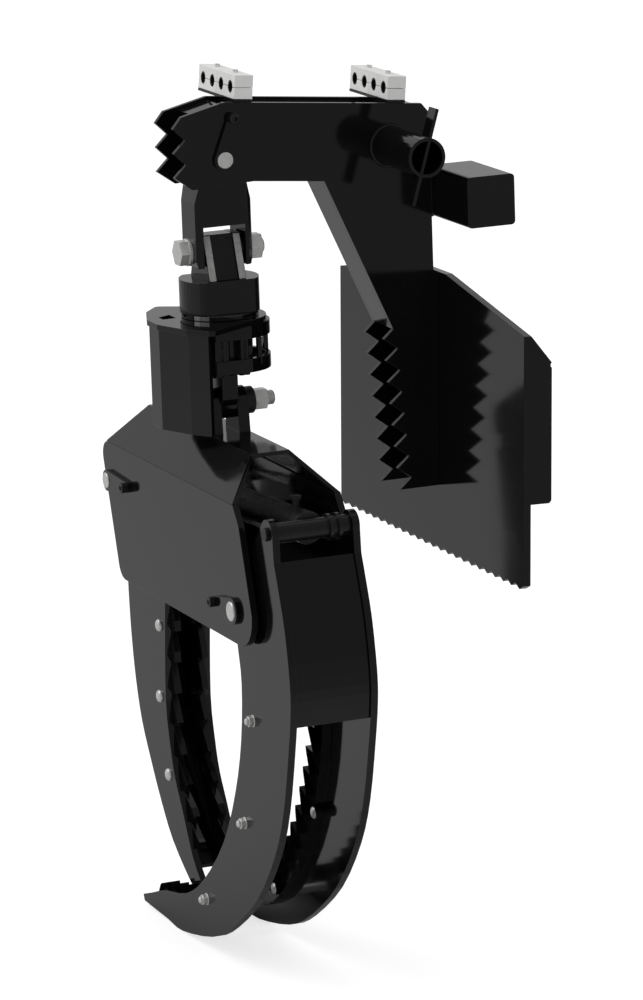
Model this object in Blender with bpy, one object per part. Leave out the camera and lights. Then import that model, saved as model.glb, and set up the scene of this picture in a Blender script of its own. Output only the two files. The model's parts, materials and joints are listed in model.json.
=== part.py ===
"""Log grapple that hangs from a short arm in front of a loader's carrier plate.

The arm is a welded box beam with a toothed nose and toothed legs that run down a butt plate.
A cross link, a rotator and a fixed frame hang below it. The frame carries a fixed jaw, and a
moving jaw that a hydraulic cylinder closes. Metres, +Z up, origin at the centre of the carrier
plate's rear face, +X out of that face, -X towards the nose of the arm.
"""
import math

import bmesh
import bpy
from mathutils import Matrix, Vector
from mathutils.geometry import interpolate_bezier

# Clearances
seat_gap = 0.0003           # between faces that touch
running_gap = 0.0005        # between faces that turn past each other
overrun = 0.004             # how far a cutter passes the metal it cuts

# Arm
arm_width = 0.080
arm_plate = 0.008
beam_reach = 0.346          # link pin to the butt plate's front face, at its shoulder
beam_rise = 0.087           # link pin to the beam's top edge
beam_fall = 0.032           # how much lower the top edge is at the rear
beam_floor = 0.037          # link pin down to the beam's lower edge
rear_setback = 0.008        # beam's rear edge to the butt plate's front face
web_plate = 0.006
web_recess = 0.006
nose_reach = 0.080
nose_top = 0.070
nose_tooth_depth = 0.019
nose_tooth_pitch = 0.037
nose_teeth = 3
leg_drop = 0.540            # link pin down to the legs' foot
leg_toe = 0.271             # link pin out to the lowest tooth
leg_lean = 0.08             # how the row of teeth leans, in length per length
leg_tooth_depth = 0.020
leg_tooth_pitch = 0.034
leg_teeth = 8
brace_start = 0.162         # link pin out to where the diagonal web leaves the beam

# Butt plate and carrier box
butt_width = 0.694
butt_plate_thick = 0.012
butt_top = 0.208            # link pin down to the top edge
butt_shoulder = 0.258       # link pin down to the outer corners
butt_foot = 0.645           # link pin down to the lower edge
butt_flat = 0.124           # length of the level part of the top edge
butt_tooth_depth = 0.007
butt_teeth = 24
carrier_depth = 0.034
carrier_plate = 0.010
carrier_drop = 0.407        # link pin down to the middle of the carrier face
carrier_height = 0.214
butt_lean = math.radians(1.8)        # the butt plate's foot leans towards the jaws
flange_plate = 0.008

# Tubes on the arm
guide_tube_radius = 0.03015
guide_tube_wall = 0.005
guide_tube_length = 0.138
guide_tube_x = 0.272
guide_tube_z = -0.004
cross_bar_length = 0.149
cross_bar_width = 0.026
cross_bar_thick = 0.005
cross_bar_lean = math.radians(17.0)
box_tube_side = 0.078
box_tube_wall = 0.005
box_tube_length = 0.145
box_tube_start = -0.020     # its far end, across the arm
box_tube_top = -0.043

# Pipe clamps
clamp_length = 0.0725
clamp_depth = 0.030
clamp_height = 0.034
clamp_pitch = 0.037
clamp_bore = 0.0092
clamp_strip = 0.004
clamp_cover = 0.002
clamp_bolt_radius = 0.0040
clamp_stations = (0.020, 0.270)      # link pin to the front of each group
clamp_inset = 0.002         # near clamps behind the near side plate

# Link, head and rotator
link_pin_radius = 0.0125
link_half = 0.047
link_shoulder = 0.065       # pin down to where the link is full width
link_boss = 0.036
link_drop = 0.164
link_leg = 0.013
link_slot_top = 0.102
link_corner = 0.012
head_pin_drop = 0.142
head_pin_radius = 0.012
lug_plate = 0.012
lug_outer = 0.030           # middle of the head to the lugs' outer faces
lug_boss = 0.020
lug_root = 0.036
head_radius = 0.061
head_flat = 0.045           # middle of the head to its flat front
head_top = 0.184            # link pin down to the head's top face
head_height = 0.051
flange_radius = 0.058
flange_height = 0.007
shaft_radius = 0.025
rotor_radius = 0.048
rotor_height = 0.078
guard_top_plate = 0.008
guard_wall = 0.008
guard_drop = 0.162          # guard's top plate down to the guard wall's foot
guard_back = 0.111          # rotator axis to the guard's left wall
guard_side = 0.118          # rotator axis to the guard's front and back corners
guard_ring = 0.070          # radius of the round end of the top plate
strap_bend = 0.062          # outer radius of the straps' bend
strap_shift = 0.014         # centre of the bend, off the rotator's axis
strap_start = 0.033         # straps' ends, off the rotator's axis
strap_height = 0.021
strap_plate = 0.008
strap_drop = 0.052          # upper strap to lower strap
hanger_plate = 0.026
hanger_half = 0.030
hanger_pin_drop = 0.136     # rotator's top plate down to the hanger bolt
hanger_pin_radius = 0.010
hanger_cheek = 0.018
hanger_boss = 0.024

# Grapple frame
frame_width = 0.174
frame_plate = 0.010
frame_length = 0.614
frame_height = 0.212
frame_far = 0.313           # rotator axis to the frame's far end
frame_top = 0.247           # head's lower face down to the side plates' top edge
roof_rise = 0.060
roof_half = 0.031
roof_plate = 0.006
roof_near = 0.181           # rotator axis to the near end of the roof's flat
roof_far = 0.240
roof_jaw_clear = 0.003      # roof's near edge kept back from the wide open jaw
cylinder_pin = (0.277, -0.308)       # across and up from the head's lower face
jaw_pin = (-0.235, -0.409)
cylinder_pin_radius = 0.0125
jaw_pin_radius = 0.0150
keeper_plate = 0.006
keeper_bolt_radius = 0.005
stretcher_plate = 0.010

# Jaws
fixed_jaw_width = 0.076
fixed_jaw_plate = 0.010
fixed_jaw_drop = 0.955      # head's lower face down to the fixed jaw's tip
moving_jaw_width = 0.140
moving_jaw_plate = 0.011
moving_jaw_drop = 0.588     # jaw pin down to the moving jaw's lowest edge
jaw_panel = 0.008
strip_plate = 0.0165
strip_width = 0.046
strip_tooth_depth = 0.028
strip_tooth_pitch = 0.040
fixed_tooth_pitch = 0.050
fixed_tooth_depth = 0.020
fixed_strip_plate = 0.010
fixed_strip_width = 0.036
fixed_strip_proud = 0.018
strip_proud = 0.012         # teeth past the edge of the jaw plate
jaw_hub_radius = 0.026
jaw_bolt_radius = 0.006
spacer_radius = 0.007

# Cylinder
rod_pin = (-0.095, 0.134)   # from the jaw pin
rod_boss = 0.022
barrel_radius = 0.025
barrel_wall = 0.005
barrel_length = 0.395       # from the rod pin to the gland's face
barrel_tube_radius = 0.0155
barrel_pin_radius = 0.010
gland_length = 0.022
rod_radius = 0.014
eye_radius = 0.030
eye_width = 0.040
eye_play = 0.0042           # round the cylinder pin, where the linkage is opened
piston_length = 0.028

# Worked out from the sizes above
butt_depth = (butt_plate_thick + carrier_depth) / math.cos(butt_lean)
pin_x = (carrier_drop - butt_shoulder) * math.tan(butt_lean) - butt_depth - beam_reach
pin_z = carrier_drop
arm_inner = arm_width - 2 * arm_plate
hex_share = 1 / math.cos(math.radians(30))   # corner radius for half the width across flats


def clear_scene():
    """Remove whatever the file holds."""
    for old in list(bpy.data.objects):
        bpy.data.objects.remove(old, do_unlink=True)


def make_finish(name, colour, roughness, metallic):
    """One Principled material."""
    finish = bpy.data.materials.new(name)
    finish.use_nodes = True
    shader = finish.node_tree.nodes["Principled BSDF"]
    shader.inputs["Base Color"].default_value = (*colour, 1.0)
    shader.inputs["Roughness"].default_value = roughness
    shader.inputs["Metallic"].default_value = metallic
    return finish


def pivot(name, location, parent=None):
    """An empty on a joint's axis. It carries the pieces of one moving body."""
    empty = bpy.data.objects.new(name, None)
    bpy.context.scene.collection.objects.link(empty)
    empty.parent = parent
    empty.location = location
    return empty


def lay(axis, u, v, w):
    """A point with plane coordinates u, v and height w along the named axis."""
    return {"X": (w, u, v), "Y": (u, w, v), "Z": (u, v, w)}[axis]


def finish_object(name, shape, body, at, finish, turn=(0, 0, 0), smooth=False):
    """Turn a bmesh into a named object on its body."""
    bmesh.ops.recalc_face_normals(shape, faces=shape.faces)
    mesh = bpy.data.meshes.new(name)
    shape.to_mesh(mesh)
    shape.free()
    mesh.materials.append(finish)
    if smooth:
        mesh.shade_smooth()
        mesh.set_sharp_from_angle(angle=math.radians(32))
    item = bpy.data.objects.new(name, mesh)
    bpy.context.scene.collection.objects.link(item)
    item.parent = body
    item.location = at
    item.rotation_euler = turn
    return item


def prism_shape(outline, axis, thick, shape=None, middle=0.0):
    """Extrude an outline along an axis, half each way."""
    shape = shape or bmesh.new()
    low = [shape.verts.new(lay(axis, u, v, middle - thick / 2)) for u, v in outline]
    high = [shape.verts.new(lay(axis, u, v, middle + thick / 2)) for u, v in outline]
    shape.faces.new(low)
    shape.faces.new(list(reversed(high)))
    count = len(outline)
    for i in range(count):
        j = (i + 1) % count
        shape.faces.new((low[i], high[i], high[j], low[j]))
    return shape


def prism(name, body, outline, axis, thick, at, finish, turn=(0, 0, 0), smooth=False):
    """A plate or a bar with the given outline."""
    return finish_object(name, prism_shape(outline, axis, thick), body, at, finish, turn, smooth)


def turned_shape(profile, axis, steps=32, closed=False, shape=None, middle=(0, 0, 0)):
    """Revolve a profile of (radius, height) points about an axis."""
    shape = shape or bmesh.new()
    rings = []
    for radius, height in profile:
        if radius == 0:
            ring = [shape.verts.new(Vector(lay(axis, 0, 0, height)) + Vector(middle))]
        else:
            ring = []
            for k in range(steps):
                angle = 2 * math.pi * k / steps
                u, v = radius * math.cos(angle), radius * math.sin(angle)
                ring.append(shape.verts.new(Vector(lay(axis, u, v, height)) + Vector(middle)))
        rings.append(ring)
    pairs = list(zip(rings, rings[1:]))
    if closed:
        pairs.append((rings[-1], rings[0]))
    for lower, upper in pairs:
        for k in range(steps):
            m = (k + 1) % steps
            corners = [lower[k % len(lower)], lower[m % len(lower)],
                       upper[m % len(upper)], upper[k % len(upper)]]
            corners = [c for i, c in enumerate(corners) if c not in corners[:i]]
            if len(corners) > 2:
                shape.faces.new(corners)
    return shape


def turned(name, body, profile, axis, at, finish, steps=32, closed=False, turn=(0, 0, 0)):
    """A round piece."""
    shape = turned_shape(profile, axis, steps, closed)
    return finish_object(name, shape, body, at, finish, turn, True)


def rod_profile(radius, low, high, edge_share=0.08):
    """A round bar with a small chamfer at each end."""
    edge = radius * edge_share
    return [(0, low), (radius - edge, low), (radius, low + edge),
            (radius, high - edge), (radius - edge, high), (0, high)]


def tube_profile(outer, inner, low, high):
    """The wall of a tube, open at both ends."""
    return [(inner, low), (outer, low), (outer, high), (inner, high)]


def cutter(name, shape, body, at, turn=(0, 0, 0)):
    """A wire object that only cuts."""
    tool = finish_object(name, shape, body, at, paint, turn)
    tool.hide_render = True
    tool.display_type = "WIRE"
    return tool


def cut(item, tool):
    """Take the tool's shape out of the item."""
    step = item.modifiers.new("cut " + tool.name, "BOOLEAN")
    step.operation = "DIFFERENCE"
    step.solver = "EXACT"
    step.object = tool


def bore(items, axis, centre, radius, low, high, steps=24):
    """Drill one round hole through items that share a body."""
    shape = turned_shape([(0, low - overrun), (radius, low - overrun),
                          (radius, high + overrun), (0, high + overrun)], axis, steps)
    at = lay(axis, centre[0], centre[1], 0)
    tool = cutter(items[0].name + "_bore", shape, items[0].parent, at)
    for item in items:
        cut(item, tool)


def arc(centre, radius, start, end, steps=8):
    """Points on an arc, angles in degrees."""
    points = []
    for k in range(steps + 1):
        angle = math.radians(start + (end - start) * k / steps)
        points.append((centre[0] + radius * math.cos(angle), centre[1] + radius * math.sin(angle)))
    return points


def rounded(corners, steps=5):
    """Fillet each corner (u, v, radius) of an outline."""
    points = []
    count = len(corners)
    for i in range(count):
        here = Vector(corners[i][:2])
        before = (Vector(corners[i - 1][:2]) - here).normalized()
        after = (Vector(corners[(i + 1) % count][:2]) - here).normalized()
        radius = corners[i][2]
        if radius == 0:
            points.append(tuple(here))
            continue
        half = before.angle(after) / 2
        reach = radius / math.tan(half)
        middle = here + (before + after).normalized() * (radius / math.sin(half))
        first, last = here + before * reach - middle, here + after * reach - middle
        sweep = first.angle_signed(last)
        for k in range(steps + 1):
            spoke = first.copy()
            spoke.rotate(Matrix.Rotation(-sweep * k / steps, 2))
            points.append(tuple(middle + spoke))
    return points


def flow(knots, steps=3):
    """A smooth curve through hand-chosen knots."""
    ends = [Vector(k) for k in knots]
    slopes = []
    for i in range(len(ends)):
        before, after = ends[max(i - 1, 0)], ends[min(i + 1, len(ends) - 1)]
        slopes.append((after - before) / 6 * (1 if 0 < i < len(ends) - 1 else 2))
    points = []
    for i in range(len(ends) - 1):
        a, b = ends[i].to_3d(), ends[i + 1].to_3d()
        run = interpolate_bezier(a, a + slopes[i].to_3d(), b - slopes[i + 1].to_3d(), b, steps + 1)
        points += [(p.x, p.y) for p in run[:-1]]
    points.append(tuple(ends[-1]))
    return points


def scaled(shares, length):
    """Shares of one length."""
    return [(u * length, v * length) for u, v in shares]


def walk(points, distance):
    """The place and the direction at a distance along a curve."""
    for a, b in zip(points, points[1:]):
        a, b = Vector(a), Vector(b)
        step = (b - a).length
        if distance <= step:
            return a + (b - a) * (distance / step), (b - a).normalized()
        distance -= step
    return Vector(points[-1]), (Vector(points[-1]) - Vector(points[-2])).normalized()


def curve_length(points):
    """The length of a curve."""
    return sum((Vector(b) - Vector(a)).length for a, b in zip(points, points[1:]))


def hexagon(width):
    """A hexagon with the given width across flats."""
    return [(p[0], p[1]) for p in arc((0, 0), width / 2 * hex_share, 0, 300, 5)]


def strip_outline(line, thick):
    """A flat bar's outline along a bent line, to the right of its direction."""
    back = []
    count = len(line)
    for i in range(count):
        here = Vector(line[i])
        sides = []
        for a, b in ((i - 1, i), (i, i + 1)):
            if 0 <= a and b < count:
                way = (Vector(line[b]) - Vector(line[a])).normalized()
                sides.append(Vector((way.y, -way.x)))
        side = sum(sides, Vector((0, 0))).normalized()
        back.append(tuple(here + side * (thick / side.dot(sides[0]))))
    return list(line) + back[::-1]


def beam_top(x):
    """Height of the beam's top edge above the link pin."""
    return beam_rise - beam_fall * x / (beam_reach - rear_setback)


def butt_front(z):
    """How far the butt plate's front face lies from the link pin at a height."""
    return beam_reach + (z + butt_shoulder) * math.tan(butt_lean)


def leg_tip(i):
    """Tip of one leg tooth, counted from the foot."""
    return (leg_toe - leg_lean * i * leg_tooth_pitch, -leg_drop + i * leg_tooth_pitch)


def leg_knee():
    """Where the diagonal web ends above the top tooth."""
    x, z = leg_tip(leg_teeth - 1)
    return (x + 0.8 * leg_tooth_depth, z + 0.42 * leg_tooth_pitch)


def arm_side_outline():
    """The side plate: toothed nose, sloping beam, diagonal and toothed leg."""
    rear = beam_reach - rear_setback
    fold = 0.05 * nose_reach
    points = [(-(nose_reach - 0.74 * nose_tooth_depth), nose_top), (fold, beam_top(fold))]
    bevel = rear - web_recess * 2
    points += [(bevel, beam_top(bevel)), (rear, beam_top(rear) - 0.42 * beam_fall)]
    points += [(rear, -butt_top + web_recess), (butt_front(-butt_top) - seat_gap, -butt_top)]
    points += [(butt_front(-leg_drop) - seat_gap, -leg_drop)]
    for i in range(leg_teeth):
        tip = leg_tip(i)
        points.append(tip)
        if i < leg_teeth - 1:
            points.append((tip[0] + leg_tooth_depth, tip[1] + leg_tooth_pitch / 2))
    points += [leg_knee(), (brace_start, -beam_floor * 1.3), (link_half, -beam_floor)]
    last = nose_top - (nose_teeth - 0.54) * nose_tooth_pitch
    points.append((-(nose_reach - 1.5 * nose_tooth_depth), last - 0.55 * nose_tooth_pitch))
    for i in reversed(range(nose_teeth)):
        z = nose_top - (i + 0.46) * nose_tooth_pitch
        points.append((-nose_reach, z))
        if i:
            points.append((-(nose_reach - nose_tooth_depth), z + nose_tooth_pitch / 2))
    return points


def make_arm(arm):
    """Side plates and the webs between them."""
    outline = arm_side_outline()
    side = (arm_width - arm_plate) / 2
    plates = []
    for label, y in (("near", -side), ("far", side)):
        name = "arm_side_plate_" + label
        plates.append(prism(name, arm, outline, "Y", arm_plate, (pin_x, y, pin_z), paint))
    inner = arm_inner - 2 * seat_gap
    at = (pin_x, 0, pin_z)
    fold = 0.05 * nose_reach
    slope = (beam_rise - nose_top) / (nose_reach - 0.74 * nose_tooth_depth + fold)
    start = -(nose_reach - 2 * nose_tooth_depth)
    rear = beam_reach - rear_setback
    end = rear - web_recess
    line = [(start, beam_rise - slope * (fold - start) - web_recess),
            (fold, beam_rise - web_recess), (end, beam_top(end) - web_recess)]
    prism("arm_top_cover", arm, strip_outline(line, web_plate), "Y", inner, at, paint)
    front = 1.8 * link_half
    fall = (0.3 * beam_floor) / (brace_start - link_half)
    line = [leg_knee(), (brace_start, -beam_floor * 1.3),
            (front, -beam_floor - fall * (front - link_half))]
    prism("arm_lower_web", arm, strip_outline(line, web_plate), "Y", inner, at, paint)
    high = beam_top(rear) - 0.42 * beam_fall
    low = box_tube_top - box_tube_side
    rear_x = pin_x + rear + seat_gap + web_plate / 3
    ends = rounded([(-arm_width / 2, low, web_plate), (arm_width / 2, low, web_plate),
                    (arm_width / 2, high, web_plate), (-arm_width / 2, high, web_plate)], 2)
    prism("arm_rear_plate", arm, ends, "X", web_plate * 2 / 3, (rear_x, 0, pin_z), paint)
    hole = link_pin_radius + seat_gap
    bore(plates, "Y", (pin_x, pin_z), hole, -arm_width / 2, arm_width / 2)
    return plates


def make_butt(arm):
    """Butt plate with its sawtooth foot, and the carrier box behind it."""
    seat = pivot("carrier_seat", (0, 0, 0), arm)
    seat.rotation_euler = (0, butt_lean, 0)
    half = butt_width / 2
    pitch = butt_width / butt_teeth
    points = [(-half, -butt_shoulder), (-butt_flat / 2, -butt_top), (butt_flat / 2, -butt_top),
              (half, -butt_shoulder), (half, -butt_foot + butt_tooth_depth)]
    for i in range(butt_teeth):
        y = half - i * pitch
        points.append((y - pitch / 2, -butt_foot))
        if i < butt_teeth - 1:
            points.append((y - pitch, -butt_foot + butt_tooth_depth))
    points.append((-half, -butt_foot + butt_tooth_depth))
    x = -carrier_depth - butt_plate_thick / 2
    prism("butt_plate", seat, points, "X", butt_plate_thick, (x, 0, pin_z), paint)

    front = -carrier_depth + seat_gap
    top = -butt_shoulder + carrier_drop
    high, low = carrier_height / 2, -carrier_height / 2
    edge = flange_plate / 2
    side = [(front, top), (0, high), (-edge, high - edge), (0, high - 2 * edge),
            (0, low + edge), (-edge, low), (front, low)]
    inner = half - flange_plate / 2
    face = [(-inner, low), (inner, low), (inner, high), (-inner, high)]
    place = (-carrier_plate / 2, 0, 0)
    box = prism("carrier_box", seat, face, "X", carrier_plate, place, paint)
    place = half - flange_plate / 2
    flanges = prism_shape(side, "Y", flange_plate, None, -place)
    prism_shape(side, "Y", flange_plate, flanges, place)
    join(box, cutter("carrier_flanges", flanges, seat, (0, 0, 0)))
    back = -carrier_plate / 2
    inset = web_recess / 2
    rib = [(front, low + inset), (back, low + inset), (back, high - inset), (front, high - inset)]
    place = (arm_width - arm_plate) / 2
    ribs = prism_shape(rib, "Y", flange_plate, None, -place)
    prism_shape(rib, "Y", flange_plate, ribs, place)
    join(box, cutter("carrier_ribs", ribs, seat, (0, 0, 0)))


def make_tubes(arm):
    """The open guide tube with its cross bar, and the square tube."""
    y = -arm_width / 2 - seat_gap
    x, z = pin_x + guide_tube_x, pin_z + guide_tube_z
    inner = guide_tube_radius - guide_tube_wall
    profile = tube_profile(guide_tube_radius, inner, -guide_tube_length, 0)
    tube = turned("guide_tube", arm, profile, "Y", (x, y, z), paint, 40, True)
    place = (x, y - guide_tube_length + 0.7 * cross_bar_width, z)
    lean = (0, cross_bar_lean, 0)
    half, thick = cross_bar_length / 2, cross_bar_thick / 2
    bar = rounded([(-thick, -half, 0), (thick, -half, 0), (thick, half, 0), (-thick, half, 0)])
    prism("tube_cross_bar", arm, bar, "Y", cross_bar_width, place, paint, lean)
    wide = thick + seat_gap
    slot = [(-wide, -half), (wide, -half), (wide, half), (-wide, half)]
    slit = prism_shape(slot, "Y", cross_bar_width + 2 * seat_gap)
    cut(tube, cutter("cross_bar_slot", slit, arm, place, lean))

    half = box_tube_side / 2
    x = pin_x + beam_reach - rear_setback + web_plate * 2 / 3 + 2 * seat_gap + half
    z = pin_z + box_tube_top - half
    corner = box_tube_wall * 1.2
    outer = rounded([(-half, -half, corner), (half, -half, corner),
                     (half, half, corner), (-half, half, corner)], 3)
    hollow = half - box_tube_wall
    inner = [(-hollow, -hollow), (hollow, -hollow), (hollow, hollow), (-hollow, hollow)]
    y = box_tube_start - box_tube_length / 2
    box = prism("square_tube", arm, outer, "Y", box_tube_length, (x, y, z), paint)
    passage = prism_shape(inner, "Y", box_tube_length)
    cut(box, cutter("square_tube_bore", passage, arm, (x, y + box_tube_wall, z)))


def make_clamps(arm):
    """Two groups of twin pipe clamps on strips across the beam."""
    near = -arm_width / 2 + clamp_inset
    block = clamp_length - seat_gap
    edge = clamp_height / 12
    split = clamp_height / 30
    reach = clamp_depth / 2 + overrun
    slope = math.atan2(beam_fall, beam_reach - rear_setback)
    for label, station in zip(("front", "rear"), clamp_stations):
        spot = station + clamp_depth / 2
        seat = pivot("clamp_seat_" + label, (pin_x + spot, 0, pin_z + beam_top(spot)), arm)
        seat.rotation_euler = (0, slope, 0)
        base = seat_gap
        length = 2 * clamp_length
        flat = [(-clamp_depth / 2, 0), (clamp_depth / 2, 0),
                (clamp_depth / 2, clamp_strip), (-clamp_depth / 2, clamp_strip)]
        place = (0, near + length / 2, base)
        prism("clamp_strip_" + label, seat, flat, "Y", length, place, paint)
        low = base + clamp_strip + seat_gap
        half, middle = clamp_height / 2, low + clamp_height / 2
        for k, end in ((0, "near"), (1, "far")):
            y = near + (k + 0.5) * clamp_length
            right = [(block / 2 - edge, -half), (block / 2, -half + edge), (block / 2, -split / 2),
                     (block / 2 - split, 0), (block / 2, split / 2), (block / 2, half - edge),
                     (block / 2 - edge, half)]
            outline = right + [(-u, v) for u, v in right[::-1]]
            name = "pipe_clamp_" + label + "_" + end
            item = prism(name, seat, outline, "X", clamp_depth, (0, y, middle), aluminium)
            wide = clamp_depth / 2 - edge
            span = block / 2 - edge
            plan = [(-wide, -span), (wide, -span), (wide, span), (-wide, span)]
            cover = prism_shape(plan, "Z", 2 * clamp_cover, None, half)
            join(item, cutter(name + "_cover", cover, seat, (0, y, middle)))
            r = clamp_bolt_radius
            root = half + clamp_cover / 2
            head = half + clamp_cover
            profile = [(0, root), (1.9 * r, root), (1.9 * r, head + r), (1.4 * r, head + 1.3 * r),
                       (0, head + 1.3 * r)]
            bolt = turned_shape(profile, "Z", 12)
            join(item, cutter(name + "_bolt", bolt, seat, (0, y, middle)))
            holes = bmesh.new()
            pipe = [(0, -reach), (clamp_bore, -reach), (clamp_bore, reach), (0, reach)]
            for way in (-1, 1):
                turned_shape(pipe, "X", 20, False, holes, (0, way * clamp_pitch / 2, 0))
            cut(item, cutter(name + "_bores", holes, seat, (0, y, middle)))


def keeper_outline(pin_radius, bolt_radius, reach):
    """A tapered flag from a pin to its bolt, pin at zero, bolt straight up."""
    wide, narrow = pin_radius * 1.35, bolt_radius * 1.7
    return arc((0, 0), wide, 180, 360, 10) + arc((0, reach), narrow, 0, 180, 6)


def make_link_pin(arm):
    """The pin through the nose, its keeper flag and the keeper's bolt."""
    side = arm_width / 2
    out = side + keeper_plate + 2 * seat_gap + link_pin_radius * 0.12
    profile = rod_profile(link_pin_radius, -out, side + link_pin_radius * 0.3)
    turned("link_pin", arm, profile, "Y", (pin_x, 0, pin_z), zinc)
    reach = 5.1 * link_pin_radius
    y = -side - seat_gap - keeper_plate / 2
    lean = (0, math.radians(14), 0)
    place = (pin_x, y, pin_z)
    outline = keeper_outline(link_pin_radius, keeper_bolt_radius, reach)
    flag = prism("link_pin_keeper", arm, outline, "Y", keeper_plate, place, paint, lean)
    bore([flag], "Y", (pin_x, pin_z), link_pin_radius + seat_gap, y - keeper_plate, y + keeper_plate)
    x = pin_x + reach * math.sin(lean[1])
    z = pin_z + reach * math.cos(lean[1])
    place = (x, y - keeper_plate / 2 - seat_gap, z)
    screw = cap_screw_shape("Y", -1)
    finish_object("link_pin_keeper_bolt", screw, arm, place, dark_steel, smooth=True)


def cap_screw_shape(axis, way):
    """A short screw whose head sits on a keeper. Its end faces along the axis by way."""
    r = keeper_bolt_radius
    profile = [(0, 0), (r * 1.6, 0), (r * 1.6, way * r * 1.4), (r * 1.3, way * r * 1.7),
               (r * 0.7, way * r * 1.7), (r * 0.7, way * r * 0.9), (0, way * r * 0.9)]
    return turned_shape(profile, axis, 18)


def make_link(link):
    """The cross link: a boss in the nose and a fork round the head's bolt."""
    half = link_half
    neck = link_half * 0.81
    toe = link_half * 0.22
    inner = half - link_leg
    outline = arc((0, 0), link_boss, 180, 0, 14)
    outline += [(neck, -beam_floor), (half, -link_shoulder)]
    outline += [(half, -link_drop + toe), (half - toe / 3, -link_drop), (inner, -link_drop)]
    outline += [(inner, -link_slot_top), (-inner, -link_slot_top)]
    outline += [(-inner, -link_drop), (-half + toe / 3, -link_drop), (-half, -link_drop + toe)]
    outline += [(-half, -link_shoulder), (-neck, -beam_floor)]
    thick = arm_inner - 2 * running_gap
    item = prism("cross_link", link, outline, "Y", thick, (0, 0, 0), paint)
    corner = link_corner
    for label, x, y in (("front", 1, -1), ("back", -1, 1)):
        reach = x * (half + overrun)
        edge = y * (thick / 2 + overrun)
        plan = [(reach, edge), (reach, edge - y * (corner + overrun)),
                (reach - x * (corner + overrun), edge)]
        tall = link_drop + overrun
        bevel = prism_shape(plan, "Z", tall)
        place = (0, 0, -beam_floor - web_plate - tall / 2)
        cut(item, cutter("link_corner_" + label, bevel, link, place))
    bore([item], "Y", (0, 0), link_pin_radius + running_gap, -thick / 2, thick / 2)
    bore([item], "X", (0, -head_pin_drop), head_pin_radius + seat_gap, -half, half)
    width = 3 * head_pin_radius
    half += seat_gap
    washer = 0.3 * head_pin_radius
    shape = prism_shape(hexagon(width), "X", head_pin_radius * 1.25, None,
                        -half - washer - head_pin_radius * 0.625)
    bolt_end = half + head_pin_radius * 2.1
    flange = -half - 1.2 * washer
    profile = [(0, flange), (1.75 * head_pin_radius, flange), (1.75 * head_pin_radius, -half),
               (head_pin_radius, -half), (head_pin_radius, bolt_end - washer),
               (head_pin_radius - washer / 3, bolt_end), (0, bolt_end)]
    shank = turned_shape(profile, "X", 24)
    bolt = finish_object("cross_bolt", shape, link, (0, 0, -head_pin_drop), zinc)
    tool = cutter("cross_bolt_shank", shank, link, (0, 0, -head_pin_drop))
    join(bolt, tool)
    nut = prism("cross_bolt_nut", link, hexagon(width), "X", head_pin_radius * 1.7,
                (half + head_pin_radius * 0.85, 0, -head_pin_drop), zinc)
    bore([nut], "X", (0, -head_pin_drop), head_pin_radius + seat_gap, half, bolt_end)


def join(item, tool):
    """Weld the tool's shape to the item."""
    step = item.modifiers.new("join " + tool.name, "BOOLEAN")
    step.operation = "UNION"
    step.solver = "EXACT"
    step.object = tool


def make_head(head):
    """The rotator's head: a flatted block with two lugs and the braces between them."""
    base = head_top - head_pin_drop
    chord = math.degrees(math.asin(head_flat / head_radius))
    plan = arc((0, 0), head_radius, -chord, chord, 12)
    plan += arc((0, 0), head_radius, 180 - chord, 180 + chord, 12)
    z = -base - head_height / 2
    block = prism("swivel_head", head, plan, "Z", head_height, (0, 0, z), paint, smooth=True)
    weld = head_height / 20
    lug = arc((0, 0), lug_boss, 200, -20, 12) + [(lug_root, -base - weld), (-lug_root, -base - weld)]
    place = lug_outer - lug_plate / 2
    lugs = prism_shape(lug, "X", lug_plate, None, -place)
    prism_shape(lug, "X", lug_plate, lugs, place)
    join(block, cutter("swivel_lugs", lugs, head, (0, 0, 0)))
    line = [(-lug_root + web_plate, -base - weld), (-lug_boss * 1.12, -lug_boss * 0.3)]
    brace = strip_outline(line, web_plate)
    span = 2 * (lug_outer - lug_plate / 2)
    braces = prism_shape(brace, "X", span)
    prism_shape([(-y, z) for y, z in brace], "X", span, braces)
    join(block, cutter("swivel_braces", braces, head, (0, 0, 0)))
    bore([block], "X", (0, 0), head_pin_radius + running_gap, -lug_outer, lug_outer)
    top = -base - head_height - seat_gap
    low = top - flange_height
    foot = low - guard_top_plate - rotor_height * 0.6
    profile = [(0, top), (flange_radius, top), (flange_radius, low), (shaft_radius, low),
               (shaft_radius, foot), (0, foot)]
    turned("rotator_shaft", head, profile, "Z", (0, 0, 0), chrome, 40)


def guard_plan():
    """The guard's folded wall, seen from above: back, corner, front, mirrored."""
    back = 0.975 * guard_back
    half = [(-back, 0.17 * guard_side), (-0.71 * guard_side, 0.68 * guard_side),
            (-0.54 * guard_side, 0.93 * guard_side)]
    return [(x, -y) for x, y in half[::-1]] + half


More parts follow.
